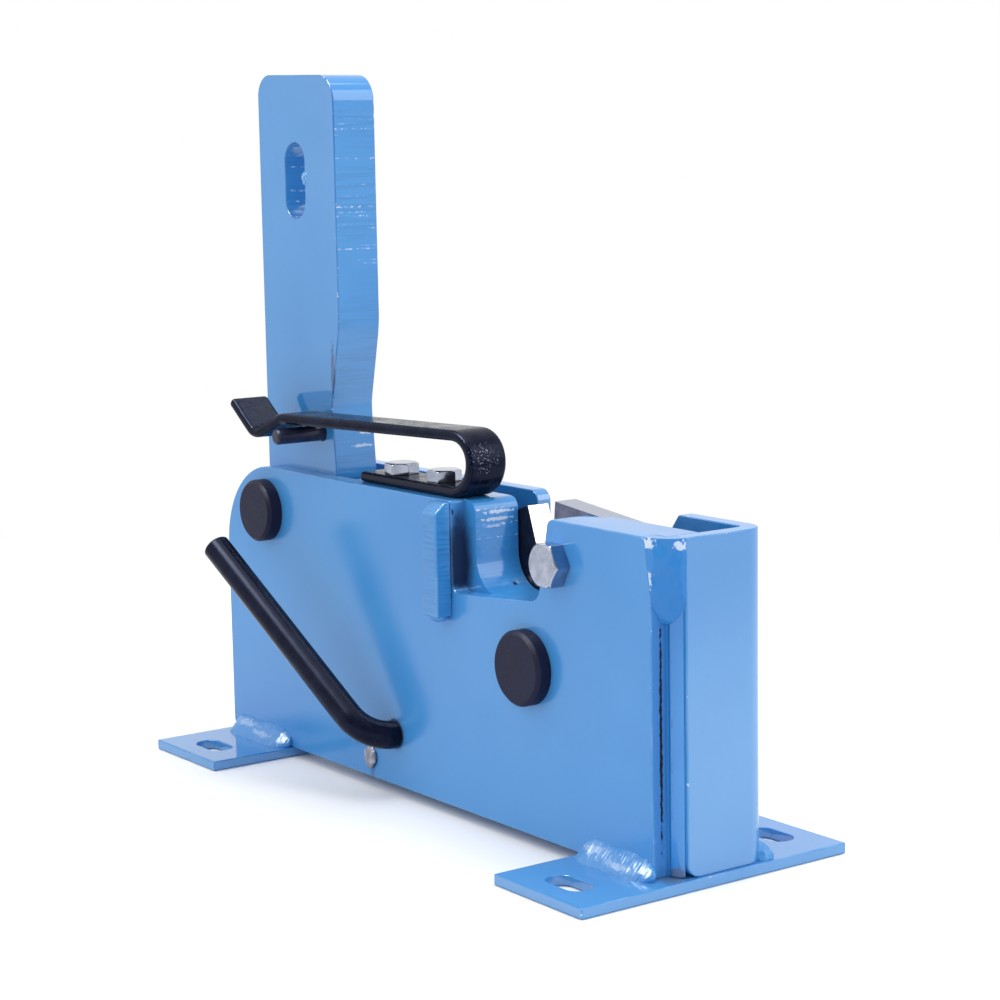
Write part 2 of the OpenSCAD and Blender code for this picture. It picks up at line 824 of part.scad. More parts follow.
// Outline of the hand lever without its bores
module lever_outline() {
    polygon(rounded([
        [shank_front_x - neck_in * 0.7, lever_z + 19, 8],
        [shank_front_x - neck_in * 0.7, lever_z + neck_up * 0.5, 0],
        [shank_front_x - neck_in, lever_z + neck_up, 30],
        [shank_front_x, lever_z + shoulder_up, 60],
        [shank_front_x, lever_top_z - lever_top_fall, lever_front_corner],
        [shank_rear_x, lever_top_z, lever_corner],
        [shank_rear_x, lever_z, 0],
        [lever_x, lever_z - lever_boss_r + 3, 0],
        [lever_x + hub_shift + hub_r * 0.8, lever_z - hub_shift - hub_r * 0.3, 0]], 14));
    lever_hub();
}

// Boss round the pivot, with the hub that carries the pinion
module lever_hub() {
    translate([lever_x, lever_z])
        circle(r = lever_boss_r);
    translate([lever_x + hub_shift, lever_z - hub_shift])
        circle(r = hub_r);
}

module hand_lever() {
    color("CornflowerBlue")
    difference() {
        slab(lever_y, lever_t)
            difference() {
                lever_outline();
                translate([slot_x - handle_w / 2, slot_z - (handle_len - handle_w) / 2])
                    square([handle_w, handle_len - handle_w]);
                for (s = [-1, 1])
                    translate([slot_x, slot_z + s * (handle_len - handle_w) / 2])
                        circle(d = handle_w);
            }
        bar_y(lever_x, lever_z, lever_bush_d + 2 * seat_fit, lever_y - 1, lever_far_y + 1);
        bar_y(latch_pin_x, latch_pin_z, latch_pin_d + 2 * seat_fit, lever_y - 1, lever_y + latch_pin_deep + side_gap);
        for (a = pinion_screws_at)
            bar_y(lever_x + pinion_screw_r * cos(a), lever_z + pinion_screw_r * sin(a),
                pinion_screw_d + 2 * seat_fit, lever_far_y - lever_t / 2 - 1, lever_far_y + 1);
    }
}

module lever_bush() {
    color("Goldenrod")
    difference() {
        bar_y(lever_x, lever_z, lever_bush_d, lever_y, knife_far_y);
        bar_y(lever_x, lever_z, lever_pin_d + 2 * run_fit, lever_y - 1, knife_far_y + 1);
    }
}

// Directions of the pinion's screws, inside the lever's shank
pinion_screws_at = [-100, -45, 10];

module drive_pinion() {
    color("Gray")
    difference() {
        slab(lever_far_y, knife_far_y - lever_far_y)
            union() {
                lever_hub();
                translate([lever_x, lever_z])
                    polygon(concat([[0, 0]], [for (i = [0 : 40])
                        let (a = pie_from + (pie_to - pie_from) * i / 40)
                        (pinion_r - tooth_down) * [cos(a), sin(a)]]));
                for (k = [pinion_last : 1])
                    translate([lever_x, lever_z])
                        polygon(tooth(pinion_r, pinion_teeth, mesh_dir + k * pinion_step));
            }
        bar_y(lever_x, lever_z, lever_bush_d + 2 * seat_fit, lever_far_y - 1, knife_far_y + 1);
        for (a = pinion_screws_at)
            translate([lever_x + pinion_screw_r * cos(a), 0, lever_z + pinion_screw_r * sin(a)])
                pinion_screw(seat_fit);
    }
}

// Countersunk screw from the pinion's far face into the lever, grown by g
module pinion_screw(g) {
    bar_y(0, 0, pinion_screw_d + 2 * g, lever_far_y - lever_t / 2 - g, knife_far_y - 1);
    translate([0, knife_far_y - 0.3, 0])
        rotate([90, 0, 0])
            cylinder(r1 = pinion_screw_d * 0.9 + g, r2 = pinion_screw_d / 2 + g, h = pinion_screw_d * 0.5);
    bar_y(0, 0, pinion_screw_d * 1.8 + 2 * g, knife_far_y - 0.3, knife_far_y + (g > 0 ? 1 : 0));
}

module pinion_screws() {
    color("Silver")
    for (a = pinion_screws_at)
        translate([lever_x + pinion_screw_r * cos(a), 0, lever_z + pinion_screw_r * sin(a)])
            difference() {
                pinion_screw(0);
                translate([0, knife_far_y + 1, 0])
                    rotate([90, 0, 0])
                        cylinder(d = pinion_screw_d * 0.75, h = pinion_screw_d * 0.5 + 1, $fn = 6);
            }
}

module latch_pin() {
    color("DimGray")
    union() {
        bar_y(latch_pin_x, latch_pin_z, latch_pin_d, lever_y - latch_pin_out + 1, lever_y + latch_pin_deep);
        translate([latch_pin_x, lever_y - latch_pin_out + 1, latch_pin_z])
            rotate([90, 0, 0])
                cylinder(d1 = latch_pin_d, d2 = latch_pin_d - 2, h = 1);
    }
}

// Points of an arc of the sector's rim at radius r, from its upper end down
rim_n = 24;
function rim_arc(r) = [for (i = [0 : rim_n])
    let (a = rim_from + (rim_to - rim_from) * i / rim_n)
    [knife_x + r * cos(a), knife_z + r * sin(a)]];

module knife_rim() {
    inner = rim_arc(rim_r);
    polygon(concat(rim_arc(sector_root_r), [for (i = [rim_n : -1 : 0]) inner[i]]));
}

module knife_teeth() {
    for (j = [-1 : sector_last])
        translate([knife_x, knife_z])
            polygon(tooth(sector_r, sector_teeth, mesh_dir + 180 + (j + 0.5) * sector_step));
}

// Arm and head of the knife, from the sector to the pivot
module knife_arm() {
    inner = rim_arc(rim_r);
    low = inner[rim_n - 3];
    high = inner[2];
    polygon(rounded([
        [edge_x, edge_z, 0.5],
        [edge_x - edge_land * cos(edge_lean), edge_z - edge_land * sin(edge_lean), 10],
        [high[0] + 30, high[1] + 2, 40],
        [high[0] - 4, high[1], 0],
        [low[0] - 4, low[1], 0],
        [low[0] + 40, high[1] - arm_deep, 30],
        [knife_x - 4, knife_z - knife_boss_r, 0],
        [knife_x, knife_z, 0],
        [knife_x, knife_z + knife_boss_r - 0.5, 0],
        [edge_foot[0], edge_foot[1], 4]], 10));
}

module knife_lever() {
    color("SlateGray")
    difference() {
        slab(knife_y, knife_t)
            union() {
                knife_rim();
                knife_teeth();
                knife_arm();
                translate([knife_x, knife_z])
                    circle(r = knife_boss_r);
            }
        bar_y(knife_x, knife_z, knife_bush_d + 2 * seat_fit, knife_y - 1, knife_far_y + 1);
    }
}

module knife_bush() {
    color("Goldenrod")
    difference() {
        bar_y(knife_x, knife_z, knife_bush_d, knife_y, knife_far_y);
        bar_y(knife_x, knife_z, knife_pin_d + 2 * run_fit, knife_y - 1, knife_far_y + 1);
    }
}

// The rod with its socket axis on Y and its leg turned out of it
module side_rod() {
    color("DarkSlateGray")
    translate([rod_x, near_y - rod_lead, rod_z])
        rotate([0, rod_slope, 0])
            union() {
                bar_y(0, 0, rod_spigot_d, -2, rod_lead + plate_t + rod_deep);
                translate([-rod_bend, 0, 0])
                    rotate([0, 0, -rod_turn])
                        union() {
                            rotate_extrude(angle = rod_turn)
                                translate([rod_bend, 0])
                                    circle(d = rod_d);
                            translate([rod_bend, 0, 0])
                                rotate([90, 0, 0])
                                    cylinder(d = rod_d, h = rod_leg - 1);
                            translate([rod_bend, 1 - rod_leg, 0])
                                rotate([90, 0, 0])
                                    cylinder(d1 = rod_d, d2 = rod_d - 2, h = 1);
                        }
            }
}

module rod_plug() {
    color("Silver")
    bar_y(plug_x, plug_z, plug_d, near_y - plug_out, in_y);
}

near_side_plate();
far_side_plate();
body_block();
rear_base_plate();
front_base_plate();
bar_stop_rib();
base_welds();
seam_weld();
fixed_blade();
fixed_blade_bolt();
lever_pin();
lever_pin_ring();
lever_spacer();
knife_pin();
knife_pin_ring();
knife_spacer();
latch_foot();
latch_bend();
latch_arm();
latch_bolts();
hand_lever();
lever_bush();
drive_pinion();
pinion_screws();
latch_pin();
knife_lever();
knife_bush();
side_rod();
rod_plug();
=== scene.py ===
"""Manual rebar cutter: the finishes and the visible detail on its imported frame."""

import json
import logging
import math
import random
from collections.abc import Callable, Iterator
from contextlib import contextmanager
from dataclasses import dataclass
from enum import Enum
from functools import reduce

import bmesh
import bpy
from mathutils import Matrix, Vector

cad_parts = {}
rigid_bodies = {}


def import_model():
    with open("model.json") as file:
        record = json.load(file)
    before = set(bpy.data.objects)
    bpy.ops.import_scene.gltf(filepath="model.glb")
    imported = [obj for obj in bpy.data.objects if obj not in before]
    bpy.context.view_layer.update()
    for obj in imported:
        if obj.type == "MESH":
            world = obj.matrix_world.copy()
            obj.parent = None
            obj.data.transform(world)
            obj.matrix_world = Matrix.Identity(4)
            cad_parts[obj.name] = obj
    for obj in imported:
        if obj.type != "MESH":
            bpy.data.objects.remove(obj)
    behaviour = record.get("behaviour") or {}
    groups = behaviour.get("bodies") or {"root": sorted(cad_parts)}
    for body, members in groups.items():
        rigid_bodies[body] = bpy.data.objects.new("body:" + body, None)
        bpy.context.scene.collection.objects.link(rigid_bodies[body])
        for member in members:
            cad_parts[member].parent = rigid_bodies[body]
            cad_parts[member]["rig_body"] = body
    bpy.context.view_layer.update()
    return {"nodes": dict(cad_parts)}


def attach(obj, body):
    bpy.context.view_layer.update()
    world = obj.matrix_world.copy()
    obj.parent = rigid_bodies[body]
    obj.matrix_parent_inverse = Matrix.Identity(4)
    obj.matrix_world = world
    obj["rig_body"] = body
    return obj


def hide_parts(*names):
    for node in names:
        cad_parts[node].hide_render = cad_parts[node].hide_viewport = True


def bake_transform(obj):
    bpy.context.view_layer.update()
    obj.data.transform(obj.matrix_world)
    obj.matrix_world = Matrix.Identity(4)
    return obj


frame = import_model()
LOG = logging.getLogger("rebar_cutter")
# A millimetre in metres, a metre in millimetres, and how close in metres two points are one.
MM = 0.001
PER_METRE = 1000.0
DOUBLES = 2e-6
Triple = tuple[float, float, float]
Pair = tuple[float, float]
Piece = bpy.types.Object
Node = bpy.types.Node
Outputs = bpy.types.NodeOutputs
Socket = bpy.types.NodeSocket
Sockets = tuple[Socket, ...]
Given = float | tuple[float, ...] | Socket


class Body(Enum):
    """Bodies that the pieces made here ride on."""

    FRAME = "frame"
    LEVER = "lever"
    LATCH = "latch"


class Slot(Enum):
    """Material slots of the record."""

    ENAMEL = "blue_enamel"
    STRIP = "black_strip"
    PIN = "black_pin"
    ZINC = "zinc_bolt"
    KNIFE = "knife_steel"
    BLADE = "blade_steel"
    SPRING = "spring_steel"
    BRONZE = "bush_bronze"


class Axis(Enum):
    """Axes of the shared frame."""

    X = 0
    Y = 1
    Z = 2


def metres(place: Triple | Vector) -> Vector:
    """Gives a place in millimetres as a vector in metres."""
    return Vector(place) * MM


def deselect() -> None:
    """Goes back to object mode with nothing selected."""
    if bpy.context.mode != "OBJECT":
        bpy.ops.object.mode_set(mode="OBJECT")
    bpy.ops.object.select_all(action="DESELECT")


def pick(obj: Piece) -> None:
    """Makes an object the only one selected, in object mode.

    Args:
        obj: The object.
    """
    deselect()
    obj.select_set(True)
    bpy.context.view_layer.objects.active = obj


def start(name: str, add: Callable[..., set], **sizes: object) -> Piece:
    """Adds a primitive as the start of a piece, with its place in its mesh.

    Args:
        name: Name of the piece.
        add: Operator that adds the primitive.
        sizes: Arguments of that operator, in metres.

    Returns:
        The new object, at the origin, selected and active.
    """
    deselect()
    add(**sizes)
    obj = bpy.context.active_object
    obj.name = obj.data.name = name
    bpy.ops.object.transform_apply(location=True, rotation=True, scale=True)
    return obj


@contextmanager
def editing(obj: Piece) -> Iterator[None]:
    """Opens a piece in edit mode with all its points selected.

    Args:
        obj: The piece.

    Yields:
        Nothing, while the piece is open.
    """
    pick(obj)
    bpy.ops.object.mode_set(mode="EDIT")
    bpy.ops.mesh.select_mode(type="VERT")
    bpy.ops.mesh.select_all(action="SELECT")
    yield
    bpy.ops.object.mode_set(mode="OBJECT")


def choose(obj: Piece, test: Callable[[Vector], bool]) -> None:
    """Selects, in edit mode, the points of a piece whose place passes a test.

    Args:
        obj: The piece that is open.
        test: Says whether a place in metres is taken.
    """
    mesh = bmesh.from_edit_mesh(obj.data)
    for point in mesh.verts:
        point.select_set(test(point.co))
    mesh.select_flush_mode()
    bmesh.update_edit_mesh(obj.data)


def modify(obj: Piece, kind: str, **settings: object) -> None:
    """Adds a modifier to a piece and applies it.

    Args:
        obj: The piece.
        kind: Kind of modifier.
        settings: Values of the modifier.
    """
    pick(obj)
    modifier = obj.modifiers.new(kind.lower(), kind)
    for key, value in settings.items():
        setattr(modifier, key, value)
    bpy.ops.object.modifier_apply(modifier=modifier.name)


def lumps(obj: Piece, size: float, height: float) -> None:
    """Pushes the surface of a piece in and out in soft lumps.

    Args:
        obj: The piece.
        size: Width of a lump in millimetres.
        height: Height of a lump in millimetres.
    """
    label = f"lumps_{size:g}"
    texture = bpy.data.textures.get(label) or bpy.data.textures.new(label, "CLOUDS")
    texture.noise_scale = size * MM
    modify(obj, "DISPLACE", texture=texture, texture_coords="LOCAL", strength=height * MM, mid_level=0.5)


def shade(obj: Piece, angle: float, lead: int) -> None:
    """Shades a piece smooth between its sharp edges.

    Args:
        obj: The piece.
        angle: Edges sharper than this stay sharp, in degrees.
        lead: Lead of large faces over small ones in the normals, where 50 is none.
    """
    pick(obj)
    bpy.ops.object.shade_smooth_by_angle(angle=math.radians(angle))
    modify(obj, "WEIGHTED_NORMAL", keep_sharp=True, weight=lead)


def smooth(obj: Piece, angle: float = 40.0) -> None:
    """Closes the seams of a piece, turns its faces outwards and shades it smooth.

    Args:
        obj: The piece.
        angle: Edges sharper than this stay sharp, in degrees.
    """
    with editing(obj):
        bpy.ops.mesh.remove_doubles(threshold=DOUBLES)
        bpy.ops.mesh.normals_make_consistent(inside=False)
    shade(obj, angle, lead=60)


def trim(obj: Piece, place: Triple, outward: Triple) -> None:
    """Cuts off what lies beyond a plane and closes the cut.

    Args:
        obj: The piece.
        place: A point of the plane in millimetres.
        outward: Direction of the side that is cut off.
    """
    with editing(obj):
        bpy.ops.mesh.bisect(plane_co=metres(place), plane_no=outward, use_fill=True, clear_outer=True)


class Wiring:
    """Adds, sets and links the nodes of one node tree."""

    def __init__(self, tree: bpy.types.NodeTree) -> None:
        """Keeps the tree that is wired."""
        self.tree = tree

    def add(self, kind: str, inputs: dict | None = None, **settings: object) -> Node:
        """Adds a node.

        Args:
            kind: Kind of node.
            inputs: Values or sockets for its inputs, by name or number.
            settings: Values of the node itself.

        Returns:
            The new node.
        """
        node = self.tree.nodes.new(kind)
        for key, value in settings.items():
            setattr(node, key, value)
        for key, value in (inputs or {}).items():
            if isinstance(value, Socket):
                self.tree.links.new(value, node.inputs[key])
            else:
                node.inputs[key].default_value = value
        return node

    def math(self, operation: str, a: Given, b: Given = 0.0) -> Socket:
        """Gives the result of one sum on two numbers."""
        return self.add("ShaderNodeMath", {0: a, 1: b}, operation=operation).outputs[0]

    def times(self, *values: Given) -> Socket:
        """Multiplies numbers, from the first to the last."""
        return reduce(lambda a, b: self.math("MULTIPLY", a, b), values)

    def plus(self, *values: Given) -> Socket:
        """Adds numbers, from the first to the last."""
        return reduce(lambda a, b: self.math("ADD", a, b), values)

    def span(self, value: Given, low: float, high: float, least: float = 0.0,
             most: float = 1.0) -> Socket:
        """Maps low to high smoothly on to least to most."""
        ends = {"Value": value, "From Min": low, "From Max": high, "To Min": least, "To Max": most}
        return self.add("ShaderNodeMapRange", ends, interpolation_type="SMOOTHSTEP").outputs["Result"]

    def mix(self, amount: Given, a: Given, b: Given) -> Socket:
        """Mixes two colours, each a socket or three linear values."""
        first, second = (c if isinstance(c, Socket) else (*c, 1.0) for c in (a, b))
        return self.add("ShaderNodeMix", {0: amount, 6: first, 7: second}, data_type="RGBA").outputs[2]

    def length(self, vector: Given) -> Socket:
        """Gives the length of a vector."""
        return self.add("ShaderNodeVectorMath", {0: vector}, operation="LENGTH").outputs["Value"]

    def place(self, stretch: Triple = (1.0, 1.0, 1.0), shift: Triple = (0.0, 0.0, 0.0)) -> Socket:
        """Gives the place on the object, stretched and shifted in metres."""
        own = self.add("ShaderNodeTexCoord").outputs["Object"]
        return self.add("ShaderNodeMapping", {"Vector": own, "Scale": stretch, "Location": shift}).outputs[0]

    def noise(self, place: Given, size: float, detail: float = 3.0, rough: float = 0.55) -> Socket:
        """Gives noise with lumps of a size in millimetres."""
        values = {"Vector": place, "Scale": PER_METRE / size, "Detail": detail, "Roughness": rough}
        return self.add("ShaderNodeTexNoise", values).outputs["Fac"]

    def facing(self, axis: Axis) -> Socket:
        """Gives the surface's own normal along one axis of the object."""
        normal = self.add("ShaderNodeTexCoord").outputs["Normal"]
        return self.add("ShaderNodeSeparateXYZ", {0: normal}).outputs[axis.value]

    def effect(self, effect: "Effect", **values: float) -> Outputs:
        """Adds a shared effect with its own values and gives its outputs."""
        return self.add("ShaderNodeGroup", values, node_tree=effect.tree()).outputs

    def surface(self, colour: Given, rough: Given, height: Given, more: dict[str, Given]) -> Node:
        """Adds the shader of a finish.

        Args:
            colour: Its colour.
            rough: Its roughness.
            height: Its relief in millimetres.
            more: Its other inputs, by name.

        Returns:
            The shader.
        """
        bump = self.add("ShaderNodeBump", {"Height": height, "Distance": MM, "Strength": 1.0})
        inputs = {"Base Color": colour, "Roughness": rough, "Normal": bump.outputs[0], **more}
        return self.add("ShaderNodeBsdfPrincipled", inputs)


def emptied(owner: bpy.types.Material | bpy.types.World) -> Wiring:
    """Empties the nodes of a material or a world.

    Args:
        owner: The material or the world.

    Returns:
        The wiring of its empty tree.
    """
    owner.use_nodes = True
    owner.node_tree.nodes.clear()
    return Wiring(owner.node_tree)


class Effect:
    """A shader effect that several finishes share, kept as one node group, with sizes in millimetres."""

    name = ""
    inputs: tuple[str, ...] = ()
    outputs: tuple[str, ...] = ()

    def tree(self) -> bpy.types.NodeTree:
        """Makes the node group on its first use.

        Returns:
            The node group.
        """
        tree = bpy.data.node_groups.get(self.name)
        if tree is None:
            tree = bpy.data.node_groups.new(self.name, "ShaderNodeTree")
            for direction, labels in (("INPUT", self.inputs), ("OUTPUT", self.outputs)):
                for label in labels:
                    tree.interface.new_socket(label, in_out=direction, socket_type="NodeSocketFloat")
            wiring = Wiring(tree)
            results = self.wire(wiring, wiring.add("NodeGroupInput").outputs)
            wiring.add("NodeGroupOutput", dict(zip(self.outputs, results)))
        return tree

    def wire(self, wiring: Wiring, given: Outputs) -> Sockets:
        """Wires the effect from its inputs and gives its outputs in order."""
        raise NotImplementedError


class PaintFlow(Effect):
    """Sprayed enamel: broad tone, and waves, orange peel and dust nibs in millimetres."""

    name = "paint_flow"
    inputs = ("Waves",)
    outputs = ("Tone", "Height")
    tone_size = 90
    wave_size, wave_height = 16, 0.03
    peel_size, peel_height = 2.2, 0.0035
    nib_size, nib_range, nib_height = 5.5, (0.735, 0.77), 0.05

    def wire(self, wiring: Wiring, given: Outputs) -> Sockets:
        """Wires the flow of the paint.

        Args:
            wiring: Wiring of the group.
            given: Inputs of the group.

        Returns:
            The broad tone and the height.
        """
        place = wiring.place()
        tone = wiring.noise(place, self.tone_size, 2)
        wave = wiring.times(wiring.noise(place, self.wave_size, 1), self.wave_height)
        peel = wiring.times(wiring.noise(place, self.peel_size, 2), self.peel_height)
        nib = wiring.span(wiring.noise(place, self.nib_size, 1), *self.nib_range)
        height = wiring.plus(wave, peel, wiring.times(nib, self.nib_height))
        return tone, wiring.times(height, given["Waves"])


class CutLines(Effect):
    """Flame-cut edge under paint: drag lines across the plate in millimetres, their painted shade and painted
    glints.
    """

    name = "cut_lines"
    inputs = ("Depth", "Everywhere")
    outputs = ("Height", "Glint", "Line")
    edge_range = (0.6, 0.25)
    fine_size, fine_height, fine_range = 1.35, 0.26, (0.44, 0.58)
    ridge_size, ridge_height = 7, 0.1
    patch_size, patch_range, patch_least = 26, (0.36, 0.66), 0.35
    row_size, row_range = 1.6, (0.575, 0.655)
    dot_size, dot_range = 1.4, (0.5, 0.64)

    def wire(self, wiring: Wiring, given: Outputs) -> Sockets:
        """Wires the drag lines, which show on faces across the plate or everywhere.

        Args:
            wiring: Wiring of the group.
            given: Inputs of the group.

        Returns:
            The height, the mask of the painted glints and the mask of the lines' painted shade.
        """
        across = wiring.span(wiring.math("ABSOLUTE", wiring.facing(Axis.Y)), *self.edge_range)
        edge = wiring.math("MAXIMUM", across, given["Everywhere"])
        fine = wiring.noise(wiring.place((0.06, 0.04, 1.0)), self.fine_size, 2, 0.5)
        ridge = wiring.noise(wiring.place((1.0, 0.12, 1.0), (0.3, 0.1, 0.2)), self.ridge_size, 1)
        broad = wiring.noise(wiring.place((1.0, 0.5, 1.0), (0.7, 0.0, 0.4)), self.patch_size, 2)
        patch = wiring.span(broad, *self.patch_range)
        lines = wiring.times(fine, self.fine_height, wiring.span(patch, 0.0, 1.0, self.patch_least, 1.0))
        height = wiring.plus(lines, wiring.times(ridge, self.ridge_height))
        row = wiring.span(wiring.noise(wiring.place((0.02, 0.02, 1.0)), self.row_size, 1), *self.row_range)
        speck = wiring.noise(wiring.place((1.0, 0.5, 0.8), (0.2, 0.2, 0.2)), self.dot_size, 3, 0.7)
        # The glints are pale dashes painted as highlights; the tone is painted shade along the lines.
        glint = wiring.times(row, wiring.span(speck, *self.dot_range), edge)
        tone = wiring.times(wiring.span(fine, *self.fine_range), wiring.times(edge, patch))
        return wiring.times(height, edge, given["Depth"]), glint, tone


class EdgeChips(Effect):
    """Small chips and thin spots in the paint on a rounded edge."""

    name = "edge_chips"
    inputs = ("Amount",)
    outputs = ("Chip", "Thin")
    chip_size, chip_range = 3.2, (0.69, 0.72)
    thin_size, thin_range = 14, (0.4, 0.7)

    def wire(self, wiring: Wiring, given: Outputs) -> Sockets:
        """Wires the chips and the thin spots.

        Args:
            wiring: Wiring of the group.
            given: Inputs of the group.

        Returns:
            The masks of the chips and of the thin spots.
        """
        place = wiring.place()
        chips = wiring.plus(wiring.noise(place, self.chip_size, 3, 0.62), given["Amount"])
        thin = wiring.noise(place, self.thin_size, 2)
        return wiring.span(chips, *self.chip_range), wiring.span(thin, *self.thin_range)


class SteelGrain(Effect):
    """Ground steel: fine lines along the frame, blotches and pits."""

    name = "steel_grain"
    inputs = ("Pits",)
    outputs = ("Line", "Blotch", "Pit")
    line_size = 0.5
    blotch_size = 6
    pit_size, pit_range = 1.6, (0.66, 0.74)

    def wire(self, wiring: Wiring, given: Outputs) -> Sockets:
        """Wires the grinding lines, the blotches and the pits.

        Args:
            wiring: Wiring of the group.
            given: Inputs of the group.

        Returns:
            The lines, the blotches and the mask of the pits.
        """
        line = wiring.noise(wiring.place((0.05, 1.0, 1.0)), self.line_size, 2, 0.7)
        blotch = wiring.noise(wiring.place(), self.blotch_size, 4, 0.6)
        pit = wiring.span(wiring.noise(wiring.place(), self.pit_size, 2), *self.pit_range)
        return line, blotch, wiring.times(pit, given["Pits"])


class OxideSpeckle(Effect):
    """Blackened steel: mottled gloss, fine grain and small scuffs."""

    name = "oxide_speckle"
    inputs = ("Scuffs",)
    outputs = ("Mottle", "Grain", "Scuff")
    mottle_size = 8
    grain_size = 0.9
    scuff_size, scuff_range = 3, (0.68, 0.78)

    def wire(self, wiring: Wiring, given: Outputs) -> Sockets:
        """Wires the mottling, the grain and the scuffs.

        Args:
            wiring: Wiring of the group.
            given: Inputs of the group.

        Returns:
            The mottling, the grain and the mask of the scuffs.
        """
        place = wiring.place()
        mottle = wiring.noise(place, self.mottle_size, 4, 0.6)
        grain = wiring.noise(place, self.grain_size, 2, 0.6)
        rubbed = wiring.noise(wiring.place((0.3, 1.0, 1.0)), self.scuff_size, 3, 0.7)
        return mottle, grain, wiring.times(wiring.span(rubbed, *self.scuff_range), given["Scuffs"])


@dataclass(frozen=True)
class Spot:
    """A ragged patch of another colour on a painted face.

    Args:
        centre: Middle of the patch in millimetres.
        radii: Reach along X, Y and Z in millimetres.
        colour: Colour of the patch, linear.
        rough: Roughness of the patch.
        grain: Size of its ragged edge in millimetres.
        ragged: How far the edge wanders, as a share of its reach.
        full: How far the patch covers the paint.
        soft: Breadth of its fading edge, as a share of its reach.
    """

    centre: Triple
    radii: Triple
    colour: Triple
    rough: float = 0.6
    grain: float = 2.0
    ragged: float = 0.5
    full: float = 1.0
    soft: float = 0.3

    def mask(self, wiring: Wiring) -> Socket:
        """Wires the mask of the patch.

        Args:
            wiring: Wiring of the material.

        Returns:
            The mask.
        """
        scale = tuple(PER_METRE / r for r in self.radii)
        shift = tuple(-c / r for c, r in zip(self.centre, self.radii))
        wander = wiring.times(wiring.noise(wiring.place(), self.grain, 3), 2 * self.ragged)
        away = wiring.plus(wiring.length(wiring.place(scale, shift)), wander)
        reach = 1.0 + self.ragged
        return wiring.span(away, reach, reach - self.soft, 0.0, self.full)


class Chips(Enum):
    """How chipped the paint is."""

    NONE = None
    FEW = 0.0
    MANY = 0.06


class Finish:
    """A finish that makes its material once."""

    name: str

    def material(self) -> bpy.types.Material:
        """Makes the material on its first use.

        Returns:
            The material.
        """
        material = bpy.data.materials.get(self.name)
        if material is None:
            material = bpy.data.materials.new(self.name)
            wiring = emptied(material)
            wiring.add("ShaderNodeOutputMaterial", {"Surface": self.wire(wiring).outputs[0]})
        return material

    def wire(self, wiring: Wiring) -> Node:
        """Wires the finish and gives its shader."""
        raise NotImplementedError


# What all enamel has in common: colours, shares, and heights in millimetres, with the cut lines' painted
# glints and painted shade.
LINE_GLINT = (0.78, 0.84, 0.92)
GLINT_FULL, GLINT_RISE, GLINT_FALL = 0.7, 8.0, 4.0
LINE_FADE, LINE_SHADE = 5.0, 0.6
CHIP_COLOUR, CHIP_FULL, CHIP_DEPTH = (0.72, 0.76, 0.82), 0.8, 0.06
THIN_PALE, THIN_FULL = 0.3, 0.18
PAINT_ROUGH = 0.1


